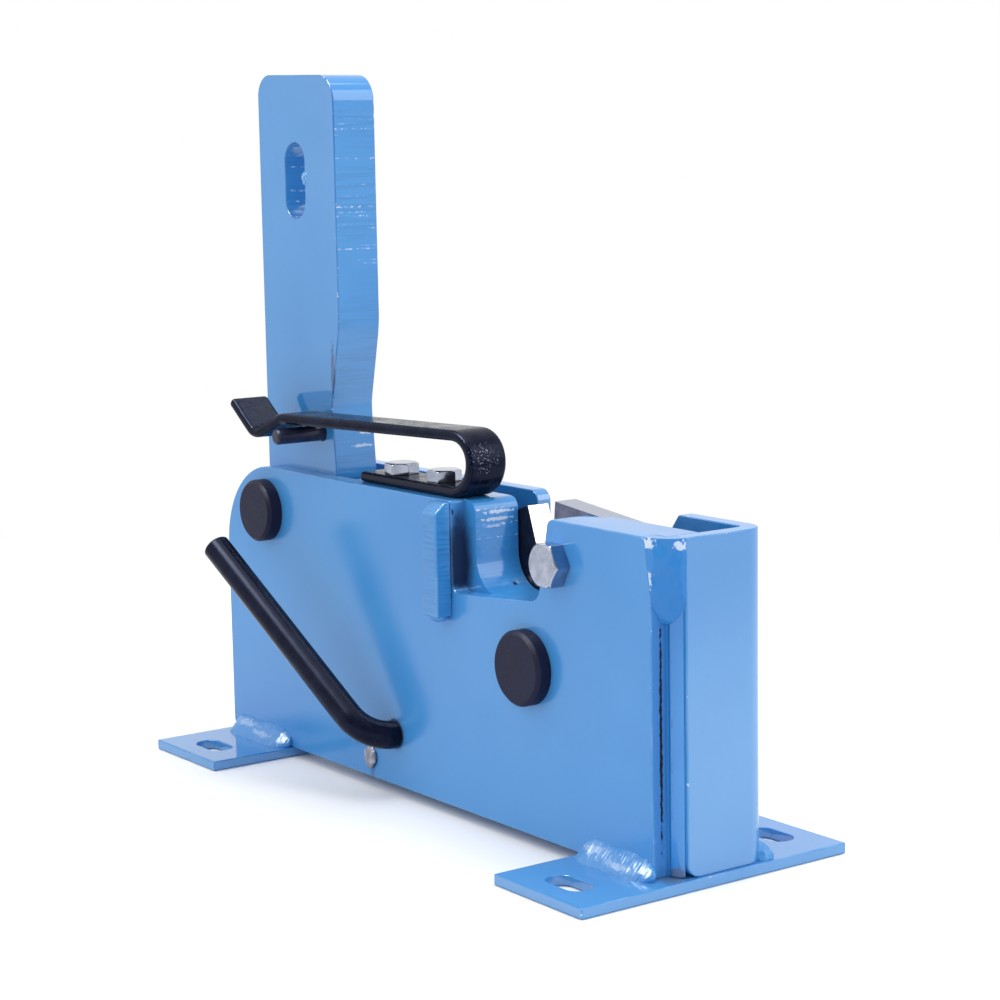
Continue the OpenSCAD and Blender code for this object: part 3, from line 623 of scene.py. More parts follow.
@dataclass(frozen=True)
class Enamel(Finish):
    """Glossy light blue enamel.

    Args:
        name: Name of the material.
        cut: Strength of flame-cut lines on faces across the plate.
        all_cut: Whether those lines show on all faces.
        line_tone: How far those lines darken the paint, as painted shade in their valleys.
        cut_top: Height over which those lines fade out, in millimetres.
        glints: Least and most height of the painted glints on those lines, in millimetres.
        wavy: Strength of the paint's own waves.
        chips: How chipped it is, on rounded edges.
        spots: Patches of other colours on it.
        colour: Colour of the full paint, linear.
        deep: Colour where the paint lies thick.
        ior: Index of refraction of the dry paint.
        rough: Least and most roughness.
    """

    name: str
    cut: float = 0.0
    all_cut: bool = False
    line_tone: float = 0.3
    cut_top: float = 500.0
    glints: Pair | None = None
    wavy: float = 1.0
    chips: Chips = Chips.NONE
    spots: tuple[Spot, ...] = ()
    colour: Triple = (0.048, 0.270, 0.635)
    deep: Triple = (0.036, 0.240, 0.600)
    ior: float = 1.6
    rough: Pair = (0.085, 0.12)

    def wire(self, wiring: Wiring) -> Node:
        """Wires the paint with its waves, cut lines, chips and patches.

        Args:
            wiring: Wiring of the material.

        Returns:
            The shader.
        """
        flow = wiring.effect(PaintFlow(), Waves=self.wavy)
        colour = wiring.mix(wiring.span(flow["Tone"], 0.3, 0.7), self.deep, self.colour)
        rough = wiring.span(flow["Tone"], 0.2, 0.8, *self.rough)
        height = flow["Height"]
        if self.cut:
            colour, height = self.flame_cut(wiring, colour, height)
        if self.chips is not Chips.NONE:
            colour, height = self.chipped(wiring, colour, height)
        for spot in self.spots:
            mask = spot.mask(wiring)
            colour = wiring.mix(mask, colour, spot.colour)
            rough = wiring.plus(rough, wiring.times(mask, spot.rough - PAINT_ROUGH))
        return wiring.surface(colour, rough, height, {"IOR": self.ior})

    def flame_cut(self, wiring: Wiring, colour: Given, height: Given) -> Sockets:
        """Adds flame-cut lines, their painted shade and the painted glints on them.

        Args:
            wiring: Wiring of the material.
            colour: Colour so far.
            height: Height so far.

        Returns:
            The new colour and height.
        """
        lines = wiring.effect(CutLines(), Depth=self.cut, Everywhere=float(self.all_cut))
        level = wiring.add("ShaderNodeSeparateXYZ", {0: wiring.place()}).outputs[Axis.Z.value]
        fade = wiring.span(level, (self.cut_top + LINE_FADE) * MM, (self.cut_top - LINE_FADE) * MM)
        height = wiring.plus(height, wiring.times(lines["Height"], fade))
        # The lines darken the paint: painted shade in their valleys.
        tone = wiring.times(lines["Line"], fade, self.line_tone)
        colour = wiring.mix(tone, colour, tuple(c * LINE_SHADE for c in self.deep))
        # Pale dashes on the lines: painted highlights.
        if self.glints:
            low, high = self.glints
            above = wiring.span(level, low * MM, (low + GLINT_RISE) * MM)
            below = wiring.span(level, high * MM, (high - GLINT_FALL) * MM, 0.0, GLINT_FULL)
            share = wiring.times(lines["Glint"], wiring.times(above, below))
            colour = wiring.mix(share, colour, LINE_GLINT)
        return colour, height

    def chipped(self, wiring: Wiring, colour: Given, height: Given) -> Sockets:
        """Adds chips and thin spots.

        Args:
            wiring: Wiring of the material.
            colour: Colour so far.
            height: Height so far.

        Returns:
            The new colour and height.
        """
        chips = wiring.effect(EdgeChips(), Amount=self.chips.value)
        pale = tuple(c * (1 - THIN_PALE) + THIN_PALE for c in self.colour)
        colour = wiring.mix(wiring.times(chips["Thin"], THIN_FULL), colour, pale)
        colour = wiring.mix(wiring.times(chips["Chip"], CHIP_FULL), colour, CHIP_COLOUR)
        return colour, wiring.math("SUBTRACT", height, wiring.times(chips["Chip"], CHIP_DEPTH))


@dataclass(frozen=True)
class Blackened(Finish):
    """Oiled, blackened steel.

    Args:
        name: Name of the material.
        colour: Colour of the skin, linear.
        worn: Colour of rubbed places.
        rough: Least and most roughness.
        bumpy: Height of the grain in millimetres.
        ior: Index of refraction of its oil film.
        tint: Tint of its reflections.
        flecks: Places where its grain gets pale painted highlights.
    """

    name: str
    colour: Triple = (0.002, 0.003, 0.012)
    worn: Triple = (0.006, 0.008, 0.024)
    rough: Pair = (0.22, 0.42)
    bumpy: float = 0.03
    ior: float = 1.3
    tint: Triple = (1.0, 1.0, 1.0)
    flecks: tuple[Spot, ...] = ()
    scuffs, scuff_colour = 0.35, (0.04, 0.045, 0.07)

    def wire(self, wiring: Wiring) -> Node:
        """Wires the mottled skin with its grain and scuffs.

        Args:
            wiring: Wiring of the material.

        Returns:
            The shader.
        """
        speckle = wiring.effect(OxideSpeckle(), Scuffs=self.scuffs)
        mottle, grain = speckle["Mottle"], speckle["Grain"]
        colour = wiring.mix(wiring.span(mottle, 0.35, 0.7), self.colour, self.worn)
        colour = wiring.mix(speckle["Scuff"], colour, self.scuff_colour)
        # Pale flecks on the grain of the bend: painted highlights.
        for spot in self.flecks:
            fleck = wiring.times(spot.mask(wiring), wiring.span(grain, 0.6, 0.68))
            colour = wiring.mix(fleck, colour, spot.colour)
        rough = wiring.span(wiring.times(mottle, grain), 0.15, 0.38, *self.rough)
        height = wiring.times(wiring.plus(grain, mottle), self.bumpy)
        return wiring.surface(colour, rough, height, {"IOR": self.ior, "Specular Tint": (*self.tint, 1.0)})


@dataclass(frozen=True)
class Metal(Finish):
    """Bare or plated metal.

    Args:
        name: Name of the material.
        light: Colour of the bright places, linear.
        dark: Colour of the dull places.
        rough: Least and most roughness.
        bumpy: Height of its lines and pits in millimetres.
        ground: Axis along which faces are freshly ground, or none.
        bright: Colour of the ground faces.
        pits: How far small pits cover it.
    """

    name: str
    light: Triple
    dark: Triple
    rough: Pair
    bumpy: float = 0.012
    ground: Axis | None = None
    bright: Triple = (0.86, 0.87, 0.88)
    pits: float = 0.5
    pit_shade, ground_rough = 0.4, 0.7

    def wire(self, wiring: Wiring) -> Node:
        """Wires the metal with its lines, blotches and pits.

        Args:
            wiring: Wiring of the material.

        Returns:
            The shader.
        """
        grain = wiring.effect(SteelGrain(), Pits=self.pits)
        colour = wiring.mix(wiring.span(grain["Blotch"], 0.32, 0.68), self.dark, self.light)
        colour = wiring.mix(grain["Pit"], colour, tuple(c * self.pit_shade for c in self.dark))
        rough = wiring.span(grain["Blotch"], 0.3, 0.7, *reversed(self.rough))
        if self.ground is not None:
            face = wiring.span(wiring.facing(self.ground), 0.5, 0.85)
            colour = wiring.mix(face, colour, self.bright)
            rough = wiring.times(rough, wiring.span(face, 0.0, 1.0, 1.0, self.ground_rough))
        height = wiring.times(wiring.math("SUBTRACT", grain["Line"], grain["Pit"]), self.bumpy)
        return wiring.surface(colour, rough, height, {"Metallic": 1.0})


SEAM_DARK = (0.003, 0.004, 0.010)
# Painted shade inside holes.
HOLE_SHADE = (0.001, 0.002, 0.006)
# Painted shade inside the oil hole.
OIL_HOLE_SHADE = (0.001, 0.001, 0.004)
STAIN = (0.10, 0.105, 0.15)
# Painted shade.
SHADE = (0.005, 0.018, 0.07)
# Pale paint for painted highlights.
PAINTED_GLINT = (0.74, 0.83, 0.94)
OIL_TINT = (0.6, 0.7, 1.0)


def glint(centre: Triple, radii: Triple, full: float, rough: float = 0.25, grain: float = 2.0,
          ragged: float = 1.0, soft: float = 0.3) -> Spot:
    """Gives a painted highlight as a pale patch, with the values that a patch has."""
    return Spot(centre, radii, PAINTED_GLINT, rough, grain, ragged, full, soft)


# Painted shade in the dark recess between the rib and the block, on the plate and on the block.
PAINTED_RECESS_SHADE = dict(colour=SHADE, rough=0.35, grain=6.0, full=0.97)
RECESS_SHADE_ON_PLATE = Spot((27.6, -22.5, 125), (2.2, 9.5, 32), ragged=0.2, soft=0.6, **PAINTED_RECESS_SHADE)
RECESS_SHADE_ON_BLOCK = Spot((25.5, -19.5, 124), (12.0, 3.0, 33), ragged=0.15, soft=0.75, **PAINTED_RECESS_SHADE)
NECK_CHIP = Spot((-87, -19.3, 204), (1.9, 1.2, 18), (0.015, 0.055, 0.2), 0.4, grain=1.7, ragged=0.9, full=0.8)
EDGE_ENAMEL = Enamel("enamel_on_edges", chips=Chips.FEW, spots=(RECESS_SHADE_ON_PLATE, RECESS_SHADE_ON_BLOCK))
# A darker blue than the lever's faces, painted shade along its rounded edges, with many chips.
LEVER_EDGE = Enamel("enamel_on_lever_edges", chips=Chips.MANY, spots=(NECK_CHIP,),
                    colour=(0.034, 0.215, 0.560), deep=(0.022, 0.170, 0.500))
WEB_ENAMEL = Enamel("enamel_on_web", ior=2.05)
# Paler than the plain paint: a painted reflection, the haze of the bases' gloss.
BASE_ENAMEL = Enamel("enamel_on_bases", colour=(0.085, 0.305, 0.655), deep=(0.070, 0.280, 0.630),
                     ior=1.9, spots=(
    Spot((178, -21, 5), (9, 7, 2), STAIN, 0.5, ragged=0.9, full=0.55),
))
# Paler than the plain paint, a painted reflection in place of the gloss it lacks.
NEAR_ENAMEL = Enamel("enamel_on_near_plate", colour=(0.066, 0.288, 0.655), deep=(0.055, 0.260, 0.625),
                     ior=1.5, rough=(0.17, 0.22), spots=(
    Spot((-46, -27.5, 8.5), (2.2, 3, 4.5), (0.03, 0.08, 0.25), 0.3, grain=1.5, ragged=0.6, full=0.6),
    # Painted shade in a hole in the plate.
    Spot((-24.4, -27.5, 31.3), (8.7, 2, 8.7), HOLE_SHADE, 0.7, ragged=0.05),
    Spot((174.6, -23.4, 80), (1.2, 5.6, 95), (0.022, 0.180, 0.54), 0.45, grain=3.0, ragged=0.2, full=0.85),
    Spot((174.5, -22.3, 68), (1.4, 0.85, 55), SEAM_DARK, grain=2.5, ragged=0.9),
    RECESS_SHADE_ON_PLATE,
    # Painted shade in a pinhole at the top of the rib's joint.
    Spot((27.5, -27.5, 147.5), (1.8, 1.8, 2.1), HOLE_SHADE, grain=1.2, ragged=0.3),
))
CUT_ENAMEL = Enamel("enamel_on_rib", cut=0.9, all_cut=True, line_tone=0.4)
LEVER_ENAMEL = Enamel("enamel_on_lever", cut=0.3, cut_top=336.0, glints=(256, 336), ior=1.72, spots=(
    NECK_CHIP,
    # Painted highlights at the slot's drip and on the neck.
    glint((-109.5, -14, 290), (3, 3.5, 2.4), full=0.5),
    glint((-86, 1, 173.5), (8, 5.5, 1.1), full=0.6),
    glint((-85, -2, 167), (8, 6, 0.9), full=0.5),
))
BLOCK_ENAMEL = Enamel("enamel_on_block", cut=0.45, glints=(128, 152), spots=(
    RECESS_SHADE_ON_BLOCK,
    # Painted highlights streaking the notch wall.
    glint((37.4, -5.5, 147.0), (3, 10, 1.1), full=0.65, ragged=1.2),
    glint((36.8, -7.5, 143.6), (3, 9, 0.9), full=0.55, ragged=1.2),
    glint((36.8, -9.0, 140.4), (3, 6, 0.7), full=0.4, ragged=1.2),
    # Painted shade down the oil hole.
    Spot((43.6, -2.25, 108), (1.3, 1.3, 20), OIL_HOLE_SHADE, grain=1.0, ragged=0.05),
))
WELD_ENAMEL = Enamel("enamel_on_welds", rough=(0.3, 0.36), wavy=3.0, spots=(
    # Painted highlights along the beads.
    glint((-168, -32, 11.5), (16, 6, 2.0), full=0.32, ragged=1.3, soft=0.7),
    glint((-146, -34, 9), (12, 6, 1.6), full=0.3, ragged=1.3, soft=0.7),
    glint((-129, -31, 9), (2.0, 5, 5), full=0.4, grain=2.5, soft=0.6),
    glint((136, -32, 11.5), (14, 6, 2.0), full=0.3, grain=1.6, ragged=1.3, soft=0.7),
    glint((158, -34, 8.5), (14, 6, 1.6), full=0.3, grain=1.6, ragged=1.3, soft=0.7),
))
# A brighter blue than the plain paint, painted light in the shaded groove.
SEAM_ENAMEL = Enamel("enamel_in_seam", wavy=5.0, colour=(0.05, 0.30, 0.74), deep=(0.03, 0.21, 0.60), spots=(
    Spot((179, -17, 5), (5, 5, 6), STAIN, 0.5, grain=2.5, ragged=0.7, full=0.7),
    Spot((175.6, -19.6, 50), (1.2, 0.6, 40), SEAM_DARK, grain=2.5, ragged=1.1, full=0.7),
    # A darker streak beside the crack, and a paler one on the groove's right, a painted highlight.
    Spot((177.3, -18.0, 66), (0.9, 1.0, 62), (0.018, 0.125, 0.43), 0.4, 3.5, ragged=1.1, full=0.7, soft=0.6),
    Spot((179.2, -16.2, 70), (0.9, 1.0, 62), (0.17, 0.43, 0.78), 0.3, 3.5, ragged=1.1, full=0.6, soft=0.6),
))
FILLER_ENAMEL = Enamel("enamel_on_filler", wavy=1.5, colour=(0.045, 0.25, 0.63), deep=(0.03, 0.205, 0.58),
                       ior=1.32, spots=(
    # Painted highlights at the top of the filler.
    glint((172.6, -26.5, 150.5), (4, 3.5, 2.4), full=0.8, rough=0.2, grain=2.2, ragged=1.1),
    glint((181.5, -17.0, 150.0), (3.2, 4.2, 2.8), full=0.75, rough=0.2, grain=2.2, ragged=1.1),
    glint((172.2, -26.8, 135), (3, 2.5, 4.5), full=0.7, rough=0.2, grain=1.8, ragged=1.1),
))
# Paler than the paint: a painted highlight on the drip's lumps.
DRIP_ENAMEL = Enamel("enamel_of_drip", wavy=5.0, colour=(0.10, 0.35, 0.70), deep=(0.045, 0.26, 0.62), ior=1.9)
STRIP_BLACK = Blackened("black_of_strip", rough=(0.1, 0.36), bumpy=0.055, ior=1.24, tint=OIL_TINT, flecks=(
    Spot((35, -13, 173), (6, 9, 9), (0.30, 0.33, 0.42), grain=4.0, ragged=0.6),
))
ROD_BLACK = Blackened("black_of_rod", rough=(0.27, 0.29), bumpy=0.003, ior=1.25, tint=OIL_TINT)
PIN_BLACK = Blackened("black_of_pins", colour=(0.008, 0.010, 0.034), worn=(0.012, 0.014, 0.044),
                      rough=(0.45, 0.62), ior=1.25)
# Lighter than the pins' black: painted light on the latch pin, which the strip shades.
PEG_BLACK = Blackened("black_of_peg", colour=(0.012, 0.014, 0.042), worn=(0.024, 0.027, 0.060),
                      rough=(0.3, 0.45), bumpy=0.02, ior=1.4)
BOLT_ZINC = Metal("zinc_of_bolts", light=(0.42, 0.46, 0.56), dark=(0.30, 0.335, 0.43), rough=(0.06, 0.17),
                  bumpy=0.008, pits=0.3)
KNIFE_DARK = Metal("steel_of_knife", light=(0.045, 0.047, 0.066), dark=(0.02, 0.021, 0.034), rough=(0.3, 0.5),
                   bumpy=0.02, ground=Axis.X)
BLADE_GREY = Metal("steel_of_blade", light=(0.15, 0.16, 0.23), dark=(0.09, 0.10, 0.16), rough=(0.36, 0.55),
                   bumpy=0.03, ground=Axis.Z, bright=(0.38, 0.41, 0.50))
DRIVE_STEEL = Metal("steel_of_drive", light=(0.36, 0.37, 0.40), dark=(0.2, 0.2, 0.23), rough=(0.28, 0.45))
RING_STEEL = Metal("steel_of_rings", light=(0.16, 0.16, 0.18), dark=(0.07, 0.07, 0.085), rough=(0.25, 0.4))
BUSH_BRONZE = Metal("bronze_of_bushes", light=(0.63, 0.40, 0.16), dark=(0.42, 0.25, 0.09), rough=(0.25, 0.42))
PLUG_GREY = Metal("bare_metal_of_plug", light=(0.50, 0.50, 0.54), dark=(0.26, 0.26, 0.31), rough=(0.4, 0.6),
                  bumpy=0.05)

# What all copies have in common: a closeness in millimetres, angles in degrees, and a lead in the normals.
IN_PLANE = 0.01
LEVEL_ANGLE, CREASE_ANGLE = 0.4, 35.0
LARGE_FACE_LEAD = 80


@dataclass
class Dressed:
    """A merged copy of one CAD node with rounded edges.

    Args:
        node: Name of the node.
        slot: Slot of the record that it belongs to; not used.
        finish: Finish of its faces.
        radius: Radius of its edges in millimetres.
        edge: Finish of its rounded edges, or none for the same one.
        steps: Faces across a rounded edge.
        sharp: Edges sharper than this are rounded, in degrees.
        flush_y: Plane across Y, in millimetres, where another piece is flush with it and edges stay sharp.
    """

    node: str
    slot: Slot
    finish: Finish
    radius: float
    edge: Finish | None = None
    steps: int = 2
    sharp: float = 38.0
    flush_y: float | None = None

    def flush(self, edge: bmesh.types.BMEdge) -> bool:
        """Says whether an edge lies in the plane where another piece is flush."""
        plane = self.flush_y
        return plane is not None and all(abs(p.co.y / MM - plane) < IN_PLANE for p in edge.verts)

    def weigh(self, obj: Piece) -> None:
        """Marks the edges of the copy that are to be rounded.

        Args:
            obj: The copy.
        """
        mesh = bmesh.new()
        mesh.from_mesh(obj.data)
        weight = mesh.edges.layers.float.new("bevel_weight_edge")
        for edge in mesh.edges:
            sharp = edge.calc_face_angle(0.0) > math.radians(self.sharp)
            edge[weight] = float(sharp and not self.flush(edge))
        mesh.to_mesh(obj.data)
        mesh.free()

    def build(self) -> Piece:
        """Copies the node, rounds it, dresses it and sets it on its body.

        Returns:
            The finished piece.
        """
        source = frame["nodes"][self.node]
        obj = bpy.data.objects.new(f"{self.node}_finished", source.data.copy())
        bpy.context.scene.collection.objects.link(obj)
        with editing(obj):
            bpy.ops.mesh.remove_doubles(threshold=DOUBLES)
            bpy.ops.mesh.dissolve_limited(angle_limit=math.radians(LEVEL_ANGLE))
        obj.data.materials.clear()
        for finish in (self.finish, self.edge or self.finish):
            obj.data.materials.append(finish.material())
        self.weigh(obj)
        modify(obj, "BEVEL", width=self.radius * MM, segments=self.steps, limit_method="WEIGHT",
               use_clamp_overlap=False, material=1)
        shade(obj, CREASE_ANGLE, LARGE_FACE_LEAD)
        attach(obj, source["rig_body"])
        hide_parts(self.node)
        return obj


@dataclass
class PlateWork:
    """Side plates, block, base plates and rib, in millimetres."""

    edge_r: float = 0.6
    rib_edge_r: float = 0.9
    joint_y: float = -19.5

    def build(self) -> list[Piece]:
        """Builds the painted plates and blocks.

        Returns:
            The pieces.
        """
        flat = dict(slot=Slot.ENAMEL, radius=self.edge_r, edge=EDGE_ENAMEL)
        parts = (
            Dressed("near_side_plate", finish=NEAR_ENAMEL, flush_y=self.joint_y, **flat),
            Dressed("far_side_plate", finish=WEB_ENAMEL, **flat),
            Dressed("body_block", finish=BLOCK_ENAMEL, flush_y=self.joint_y, **flat),
            Dressed("rear_base_plate", finish=BASE_ENAMEL, **flat),
            Dressed("front_base_plate", finish=BASE_ENAMEL, **flat),
            Dressed("bar_stop_rib", Slot.ENAMEL, CUT_ENAMEL, self.rib_edge_r, EDGE_ENAMEL, steps=3),
        )
        return [part.build() for part in parts]


@dataclass
class Levers:
    """Hand lever, drive and knife, in millimetres."""

    edge_r: float = 0.6
    tooth_r: float = 0.25
    bush_r: float = 0.2
    knife_r: float = 0.2

    def build(self) -> list[Piece]:
        """Builds the moving levers and what is fixed in them.

        Returns:
            The pieces.
        """
        parts = (
            Dressed("hand_lever", Slot.ENAMEL, LEVER_ENAMEL, self.edge_r, LEVER_EDGE, steps=3),
            Dressed("drive_pinion", Slot.KNIFE, DRIVE_STEEL, self.tooth_r),
            Dressed("pinion_screws", Slot.PIN, PIN_BLACK, radius=0.12),
            Dressed("lever_bush", Slot.BRONZE, BUSH_BRONZE, self.bush_r),
            Dressed("latch_pin", Slot.PIN, PEG_BLACK, self.edge_r, steps=3),
            Dressed("knife_lever", Slot.KNIFE, KNIFE_DARK, self.knife_r),
            Dressed("knife_bush", Slot.BRONZE, BUSH_BRONZE, self.bush_r),
        )
        return [part.build() for part in parts]


@dataclass
class Fasteners:
    """Pins, rings, spacers, bolts, fixed blade and rod, in millimetres."""

    pin_r: float = 0.35
    ring_r: float = 0.15
    spacer_r: float = 0.3
    blade_r: float = 0.35
    bolt_r: float = 0.3
    rod_r: float = 0.3

    def build(self) -> list[Piece]:
        """Builds the pins, bolts, blade and rod.

        Returns:
            The pieces.
        """
        parts = (
            Dressed("lever_pin", Slot.PIN, PIN_BLACK, self.pin_r, sharp=25),
            Dressed("knife_pin", Slot.PIN, PIN_BLACK, self.pin_r, sharp=25),
            Dressed("lever_pin_ring", Slot.SPRING, RING_STEEL, self.ring_r),
            Dressed("knife_pin_ring", Slot.SPRING, RING_STEEL, self.ring_r),
            Dressed("lever_spacer", Slot.SPRING, DRIVE_STEEL, self.spacer_r),
            Dressed("knife_spacer", Slot.SPRING, DRIVE_STEEL, self.spacer_r),
            Dressed("fixed_blade", Slot.BLADE, BLADE_GREY, self.blade_r),
            Dressed("fixed_blade_bolt", Slot.ZINC, BOLT_ZINC, self.bolt_r, sharp=22),
            Dressed("latch_bolts", Slot.ZINC, BOLT_ZINC, self.bolt_r, sharp=22),
            Dressed("side_rod", Slot.STRIP, ROD_BLACK, self.rod_r, sharp=30),
        )
        return [part.build() for part in parts]


@dataclass
class LatchStrip:
    """Spring strip: foot, bend, arm, catch and thumb tab in one bent bar, in millimetres."""

    width: float = 21.5
    thick: float = 5.3
    edge_r: float = 2.1
    foot_x: float = -59.0
    bend_x: float = 20.0
    middle_y: float = -12.05
    plate_top: float = 153.0
    bend_r: float = 16.2
    bend_steps: int = 32
    flex_z: Pair = (158.6, 170.0)
    skew: float = 9.754
    arm: float = 123.5
    catch: Pair = (21.0, 9.5)
    catch_r: float = 10.0
    tab: Pair = (17.0, 16.5)
    tab_r: float = 6.0

    def corner(self, a: Vector, b: Vector, c: Vector, radius: float, steps: int = 8) -> list[Vector]:
        """Rounds the corner at b of a line from a to c.

        Args:
            a: Point before the corner.
            b: The corner.
            c: Point after the corner.
            radius: Radius of the arc.
            steps: Parts of the arc.

        Returns:
            The points of the arc.
        """
        u, v = (a - b).normalized(), (c - b).normalized()
        half = u.angle(v) / 2
        reach = radius / math.tan(half)
        middle = b + (u + v).normalized() * radius / math.sin(half)
        first, last = b + u * reach - middle, b + v * reach - middle
        begin = math.atan2(first.y, first.x)
        turn = (math.atan2(last.y, last.x) - begin + math.pi) % (2 * math.pi) - math.pi
        angles = [begin + turn * i / steps for i in range(steps + 1)]
        return [middle + radius * Vector((math.cos(angle), math.sin(angle))) for angle in angles]

    def along(self, reach: float, z: float, skew: float) -> Vector:
        """Gives the point at a reach from the bend's foot, in a direction turned by skew, at height z."""
        return Vector((self.bend_x + reach * math.cos(skew), self.middle_y + reach * math.sin(skew), z))

    def line(self) -> list[Vector]:
        """Follows the middle line of the strip, from the foot's end to the tab's tip.

        Returns:
            The points of the line.
        """
        mid_r = self.bend_r - self.thick / 2
        bend_z = self.plate_top + self.bend_r
        lead = math.radians(self.skew)
        points = [Vector((self.foot_x, self.middle_y, bend_z - mid_r))]
        for i in range(self.bend_steps + 1):
            turn = math.pi * i / self.bend_steps
            out, z = mid_r * math.sin(turn), bend_z - mid_r * math.cos(turn)
            points.append(self.along(out, z, lead * i / self.bend_steps))
        arm_z = bend_z + mid_r
        b = Vector((-self.arm, arm_z))
        c = b + Vector((-self.catch[0], -self.catch[1]))
        d = c + Vector((-self.tab[0], self.tab[1]))
        flat = [*self.corner(Vector((0, arm_z)), b, c, self.catch_r), *self.corner(b, c, d, self.tab_r), d]
        return points + [self.along(p.x, p.y, lead) for p in flat]

    def build(self) -> list[Piece]:
        """Draws the middle line, widens it to a ribbon and gives it thickness.

        Returns:
            The strip.
        """
        points = self.line()
        obj = start("latch_strip", bpy.ops.mesh.primitive_plane_add, size=self.width * MM)
        with editing(obj):
            bpy.ops.mesh.merge(type="CENTER")
            bpy.ops.transform.translate(value=metres(points[0] - Vector((0, self.width / 2, 0))))
            for a, b in zip(points, points[1:]):
                bpy.ops.mesh.extrude_vertices_move(TRANSFORM_OT_translate={"value": metres(b - a)})
            bpy.ops.mesh.select_all(action="SELECT")
            bpy.ops.mesh.extrude_edges_move(TRANSFORM_OT_translate={"value": (0, self.width * MM, 0)})
        modify(obj, "SOLIDIFY", thickness=self.thick * MM, offset=0.0, use_even_offset=True)
        modify(obj, "BEVEL", width=self.edge_r * MM, segments=4, limit_method="ANGLE",
               angle_limit=math.radians(60), use_clamp_overlap=False)
        smooth(obj)
        obj.data.materials.append(STRIP_BLACK.material())
        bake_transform(obj)
        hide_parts("latch_foot", "latch_bend", "latch_arm")
        return [obj]


@dataclass
class Bead:
    """One run of weld along X in the corner of a plate and its base, in millimetres.

    Args:
        name: Name of the piece.
        start_x: Rear end of the run.
        end_x: Front end of the run.
        face_y: Face of the plate.
        side: -1 on the near face, 1 on the far face.
        seed: Start of its random draws.
        base_z: Top of the base.
        leg: How far it reaches up the plate and along the base.
        broad: Half of its section's breadth, as a share of the leg.
        deep: Half of its section's depth, as a share of the leg.
        sunk: Distance of its section's middle from the corner, as a share of the leg.
        pitch: Distance between ripples.
        rough: Sizes and heights of its lumps.
        grain: Size of its faces.
    """

    name: str
    start_x: float
    end_x: float
    face_y: float
    side: int
    seed: int
    base_z: float = 5.0
    leg: float = 9.0
    broad: float = 1.0
    deep: float = 0.32
    sunk: float = 0.48
    pitch: float = 1.9
    rough: tuple[Pair, ...] = ((8.0, 1.4), (3.0, 0.5))
    grain: float = 0.32

    # How far the crest leads, and the reach of the crest and of its lean as shares of the leg.
    lean, crest, bow = 2.4, 0.2, 0.9
    # Sections of a ripple, their plain size, and their growth by the ripple, by chance and by a slow sway.
    rings, even, ripple, stray, sway, sway_turn = 4, 0.97, 0.026, 0.009, 0.03, 0.13
    # Size of the end sections, length of the tapered ends, and depth in the base and in the plate.
    blunt, taper, under, behind = 0.36, 7.0, 1.5, 2.0

    def sizes(self, step: float) -> list[float]:
        """Draws the sizes of the sections.

        Args:
            step: Distance between sections.

        Returns:
            Each section's size, as a share of the full one.
        """
        chance = random.Random(self.seed)
        count = int((self.end_x - self.start_x) / step)
        sizes = []
        for i in range(count + 1):
            ends = min(i, count - i) * step
            swell = self.blunt + (1 - self.blunt) * math.sqrt(min(ends / self.taper, 1.0))
            ripple = self.ripple * (1 - (i % self.rings) / self.rings)
            ripple += chance.uniform(-self.stray, self.stray)
            sizes.append(swell * (self.even + ripple + self.sway * math.sin(i * self.sway_turn + self.seed)))
        return sizes

    def build(self) -> Piece:
        """Draws a ring and pulls it along the corner, ripple by ripple.

        Returns:
            The bead.
        """
        out = Vector((0, self.side, 1)).normalized()
        foot = Vector((self.start_x, self.face_y, self.base_z))
        centre = foot + out * self.leg * self.sunk
        middle, top = metres(centre), metres(centre + out * self.leg * self.deep)
        step = self.pitch / self.rings
        obj = start(self.name, bpy.ops.mesh.primitive_circle_add, vertices=32, fill_type="NGON",
                    radius=self.leg * self.broad * MM, rotation=(0, math.pi / 2, 0), location=middle)
        with editing(obj):
            bpy.ops.transform.resize(value=(1, 1, self.deep / self.broad), center_override=middle)
            slant = math.radians(45 * self.side)
            bpy.ops.transform.rotate(value=slant, orient_axis="X", center_override=middle)
            choose(obj, lambda co: (co - top).length < self.leg * self.crest * MM)
            bpy.ops.transform.translate(value=(self.lean * MM, 0, 0), use_proportional_edit=True,
                                        proportional_size=self.leg * self.bow * MM,
                                        proportional_edit_falloff="SMOOTH")
            bpy.ops.mesh.select_all(action="SELECT")
            size = 1.0
            for i, want in enumerate(self.sizes(step)):
                if i:
                    bpy.ops.mesh.extrude_region_move(TRANSFORM_OT_translate={"value": (step * MM, 0, 0)})
                here = metres(foot + Vector((i * step, 0, 0)))
                bpy.ops.transform.resize(value=(1, want / size, want / size), center_override=here)
                size = want
        smooth(obj, 180)
        for width, height in self.rough:
            lumps(obj, width, height)
        trim(obj, (0, 0, self.base_z - self.under), (0, 0, -1))
        trim(obj, (0, self.face_y - self.side * self.behind, 0), (0, -self.side, 0))
        modify(obj, "REMESH", mode="VOXEL", voxel_size=self.grain * MM)
        modify(obj, "SMOOTH", factor=0.5, iterations=2)
        smooth(obj, 60)
        obj.data.materials.append(WELD_ENAMEL.material())
        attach(obj, Body.FRAME.value)
        return obj


